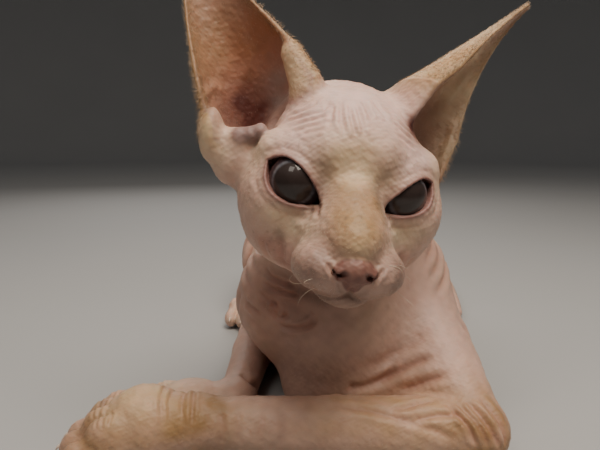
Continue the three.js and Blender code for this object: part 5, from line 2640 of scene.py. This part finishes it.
@dataclass(frozen=True)
class Whiskers:
    """The few short curly whiskers of pads and brows."""

    radius: float = 0.07
    seed: int = 5
    odds: float = 0.4  # how many of the roots on the pads have a whisker
    steps: int = 22

    def route(self, root: Array, way: Array, length: float, curl: float, draw: np.random.Generator) -> Array:
        """One whisker's path, curling more towards its tip.

        Args:
            root: where it leaves the skin.
            way: the direction it starts in.
            length: its length in millimetres.
            curl: how many times it turns round.
            draw: gives the random numbers.

        Returns:
            The points of its path.
        """
        across = unit(np.cross(way, draw.normal(size=3)))
        other = np.cross(way, across)
        steps = np.linspace(0, 1, self.steps)
        turn = curl * 2 * math.pi * steps**1.5
        heading = way * np.cos(turn)[:, None] + across * np.sin(turn)[:, None]
        heading += other * (0.35 * steps)[:, None]
        return root + np.cumsum(unit(heading) * length / (self.steps - 1), axis=0) - way * 0.6

    def build(self) -> bpy.types.Object:
        """Rows on both pads and a pair over each eye.

        Returns:
            The piece.
        """
        draw = np.random.default_rng(self.seed)
        routes = []
        for side in (-1, 1):
            for row in range(3):
                for place in range(4):
                    spot = np.array(((10.5 + 2.2 * place) * side, -29.5 + 2.6 * place, -19.5 - 2.6 * row))
                    root = laid(FACE, HEAD.out(spot + draw.normal(0, 0.4, 3))[None])[0]
                    way = np.array((1.2 * side, 0.1 + 0.15 * place, -0.25 - 0.15 * row))
                    way = unit(HEAD.way(way + draw.normal(0, 0.15, 3)))
                    if draw.random() < self.odds:
                        length, curl = draw.uniform(4, 11), draw.uniform(0.1, 0.6)
                        routes.append(self.route(root, way, length, curl, draw))
            for place in range(2):
                root = laid(FACE, HEAD.out(((16.5 + 4 * place) * side, -8, 12.5))[None])[0]
                way = unit(HEAD.way((0.3 * side, -0.5, 1)) + draw.normal(0, 0.15, 3))
                length, curl = draw.uniform(4, 8), draw.uniform(0.2, 0.6)
                routes.append(self.route(root, way, length, curl, draw))
        corners, faces = Wires(tuple(routes), self.radius).mesh()
        piece = new_mesh("whiskers", corners, faces)
        piece.data.materials.append(WHISKER.material())
        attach(piece, "root")
        LOG.info("whiskers: %d", len(routes))
        return piece


@dataclass(frozen=True)
class Claws:
    """The tips of the claws that show at the end of each toe."""

    length: float = 4.2
    radius: float = 0.95
    turn: float = 1.25  # how far a claw curves, in radians

    def routes(self, paw: Paw) -> list[Array]:
        """A curved path out of the end of each toe.

        Args:
            paw: the paw.

        Returns:
            One path for each toe.
        """
        found = []
        for number in range(paw.toes):
            across, reach = paw.toe(number)
            root = np.array((across * 1.15, paw.tip[0] - reach - paw.end[1] * 0.78, paw.tip[1] + 1.9))
            turn = np.linspace(0, self.turn, 9)
            bend = np.stack((turn * 0, -np.sin(turn), np.cos(turn) - 1), 1) * self.length / self.turn
            found.append(paw.place.out((root + bend) * paw.girth))
        return found

    def build(self) -> bpy.types.Object:
        """Sixteen claws in one mesh.

        Returns:
            The piece.
        """
        paws = [leg.paw for leg in FORELEGS.values()] + [hind_paw(side) for side in Side]
        routes = [route for paw in paws for route in self.routes(paw)]
        corners, faces = Wires(tuple(routes), self.radius, 8).mesh()
        piece = new_mesh("claws", corners, faces)
        piece.data.materials.append(CLAW.material())
        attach(piece, "root")
        LOG.info("claws: %d", len(routes))
        return piece


@dataclass(frozen=True)
class Lamp:
    """A soft square lamp that faces the cat, placed and sized in metres."""

    name: str
    at: Triple
    power: float
    size: float
    tint: Triple

    def build(self) -> None:
        """Hangs it up."""
        data = bpy.data.lights.new(self.name, "AREA")
        data.energy, data.size, data.color = self.power, self.size, self.tint
        seat = bpy.data.objects.new(self.name, data)
        seat.location = self.at
        aim = np.array((-0.01, 0.0, 0.09)) - self.at
        seat.rotation_euler = Vector(aim).to_track_quat("-Z", "Y").to_euler()
        bpy.context.scene.collection.objects.link(seat)


LAMPS = (
    Lamp("key", (0.12, -0.24, 0.82), 9.0, 0.5, (1, 0.9, 0.77)),
    Lamp("front", (-0.35, -0.5, 0.85), 1.4, 0.3, (1, 0.92, 0.82)),
    Lamp("back", (-0.2, 0.8, 0.6), 2.5, 0.6, (1, 0.95, 0.9)),
)


@dataclass(frozen=True)
class Studio:
    """A pale floor, soft light and the camera."""

    lens: float = 32.4
    eye: Triple = (-0.0229, -0.2494, 0.137)
    pitch: float = 80.0
    flat: float = 2200.0  # where the floor starts to turn up
    bowl: float = 900.0  # the radius of that turn
    grey: tuple[float, float] = (0.36, 0.4)  # the floor's darkest and lightest tone
    sky: Triple = (0.75, 0.75, 0.76)
    sky_strength: float = 0.15

    def camera(self) -> None:
        """The camera, looking along +Y and ten degrees down."""
        data = bpy.data.cameras.new("camera")
        data.lens, data.sensor_width, data.clip_start = self.lens, 36, 0.005
        seat = bpy.data.objects.new("camera", data)
        seat.location = self.eye
        seat.rotation_euler = (math.radians(self.pitch), 0, 0)
        bpy.context.scene.collection.objects.link(seat)
        bpy.context.scene.camera = seat

    def floor(self) -> None:
        """A wide pale floor, turned up all round far away so that no edge shows behind the cat."""
        turns = np.linspace(0, 2 * math.pi, 96, endpoint=False)
        rise = np.linspace(0, math.pi / 2, 13)
        reach = np.append(self.flat + self.bowl * np.sin(rise), self.flat + self.bowl)
        height = np.append(self.bowl * (1 - np.cos(rise)), self.bowl * 2)
        ring = np.stack((np.cos(turns), np.sin(turns)), 1)
        rings = [np.column_stack((ring * r, np.full(len(turns), z))) for r, z in zip(reach, height)]
        number = np.arange(len(rings) * len(turns)).reshape(len(rings), -1)
        after = np.roll(number, -1, 1)
        quads = np.stack((number[:-1], after[:-1], after[1:], number[1:]), -1).reshape(-1, 4)
        middle = np.stack((number[0], after[0], np.full(len(turns), number.size)), -1)
        piece = new_mesh("floor", np.vstack((*rings, (0, 0, 0))), [quads[:, ::-1], middle])
        g = Graph("floor")
        shade = g.cloud(3.0, 2.0, *self.grey)
        piece.data.materials.append(g.finish({"Base Color": shade, "Roughness": 0.8}))

    def build(self) -> None:
        """All of it."""
        self.camera()
        self.floor()
        for lamp in LAMPS:
            lamp.build()
        world = bpy.data.worlds.new("room")
        bpy.context.scene.world = world
        world.use_nodes = True
        background = world.node_tree.nodes["Background"]
        background.inputs[0].default_value = (*self.sky, 1)
        background.inputs[1].default_value = self.sky_strength


SPACING, QUICK_SPACING = 1.08, 1.25  # what the grid's own spacing is multiplied by


def main() -> None:
    """Builds the cat, piece by piece."""
    logging.basicConfig(level=logging.INFO, format="%(message)s")
    Studio().build()
    skin = Skin(Grid(coarse=SPACING), fine=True).build()
    for side in Side:
        Eyeball(side).build()
    ground = Ground.of(skin)
    parts = part_of(ground.at)
    Down(Part.EARS, EarSheets(), "ear_skin", seed=1).build(ground, parts[Part.EARS])
    Down(Part.HEAD, HEAD_BONES, "skin", width=0.1, lift=0.4, seed=2).build(ground, parts[Part.HEAD])
    Down(Part.TRUNK, TRUNK_BONES, "skin", seed=3).build(ground, parts[Part.TRUNK])
    Down(Part.LIMBS, LIMB_BONES, "skin", seed=4).build(ground, parts[Part.LIMBS])
    Whiskers().build()
    Claws().build()


if __name__ == "__main__":
    main()
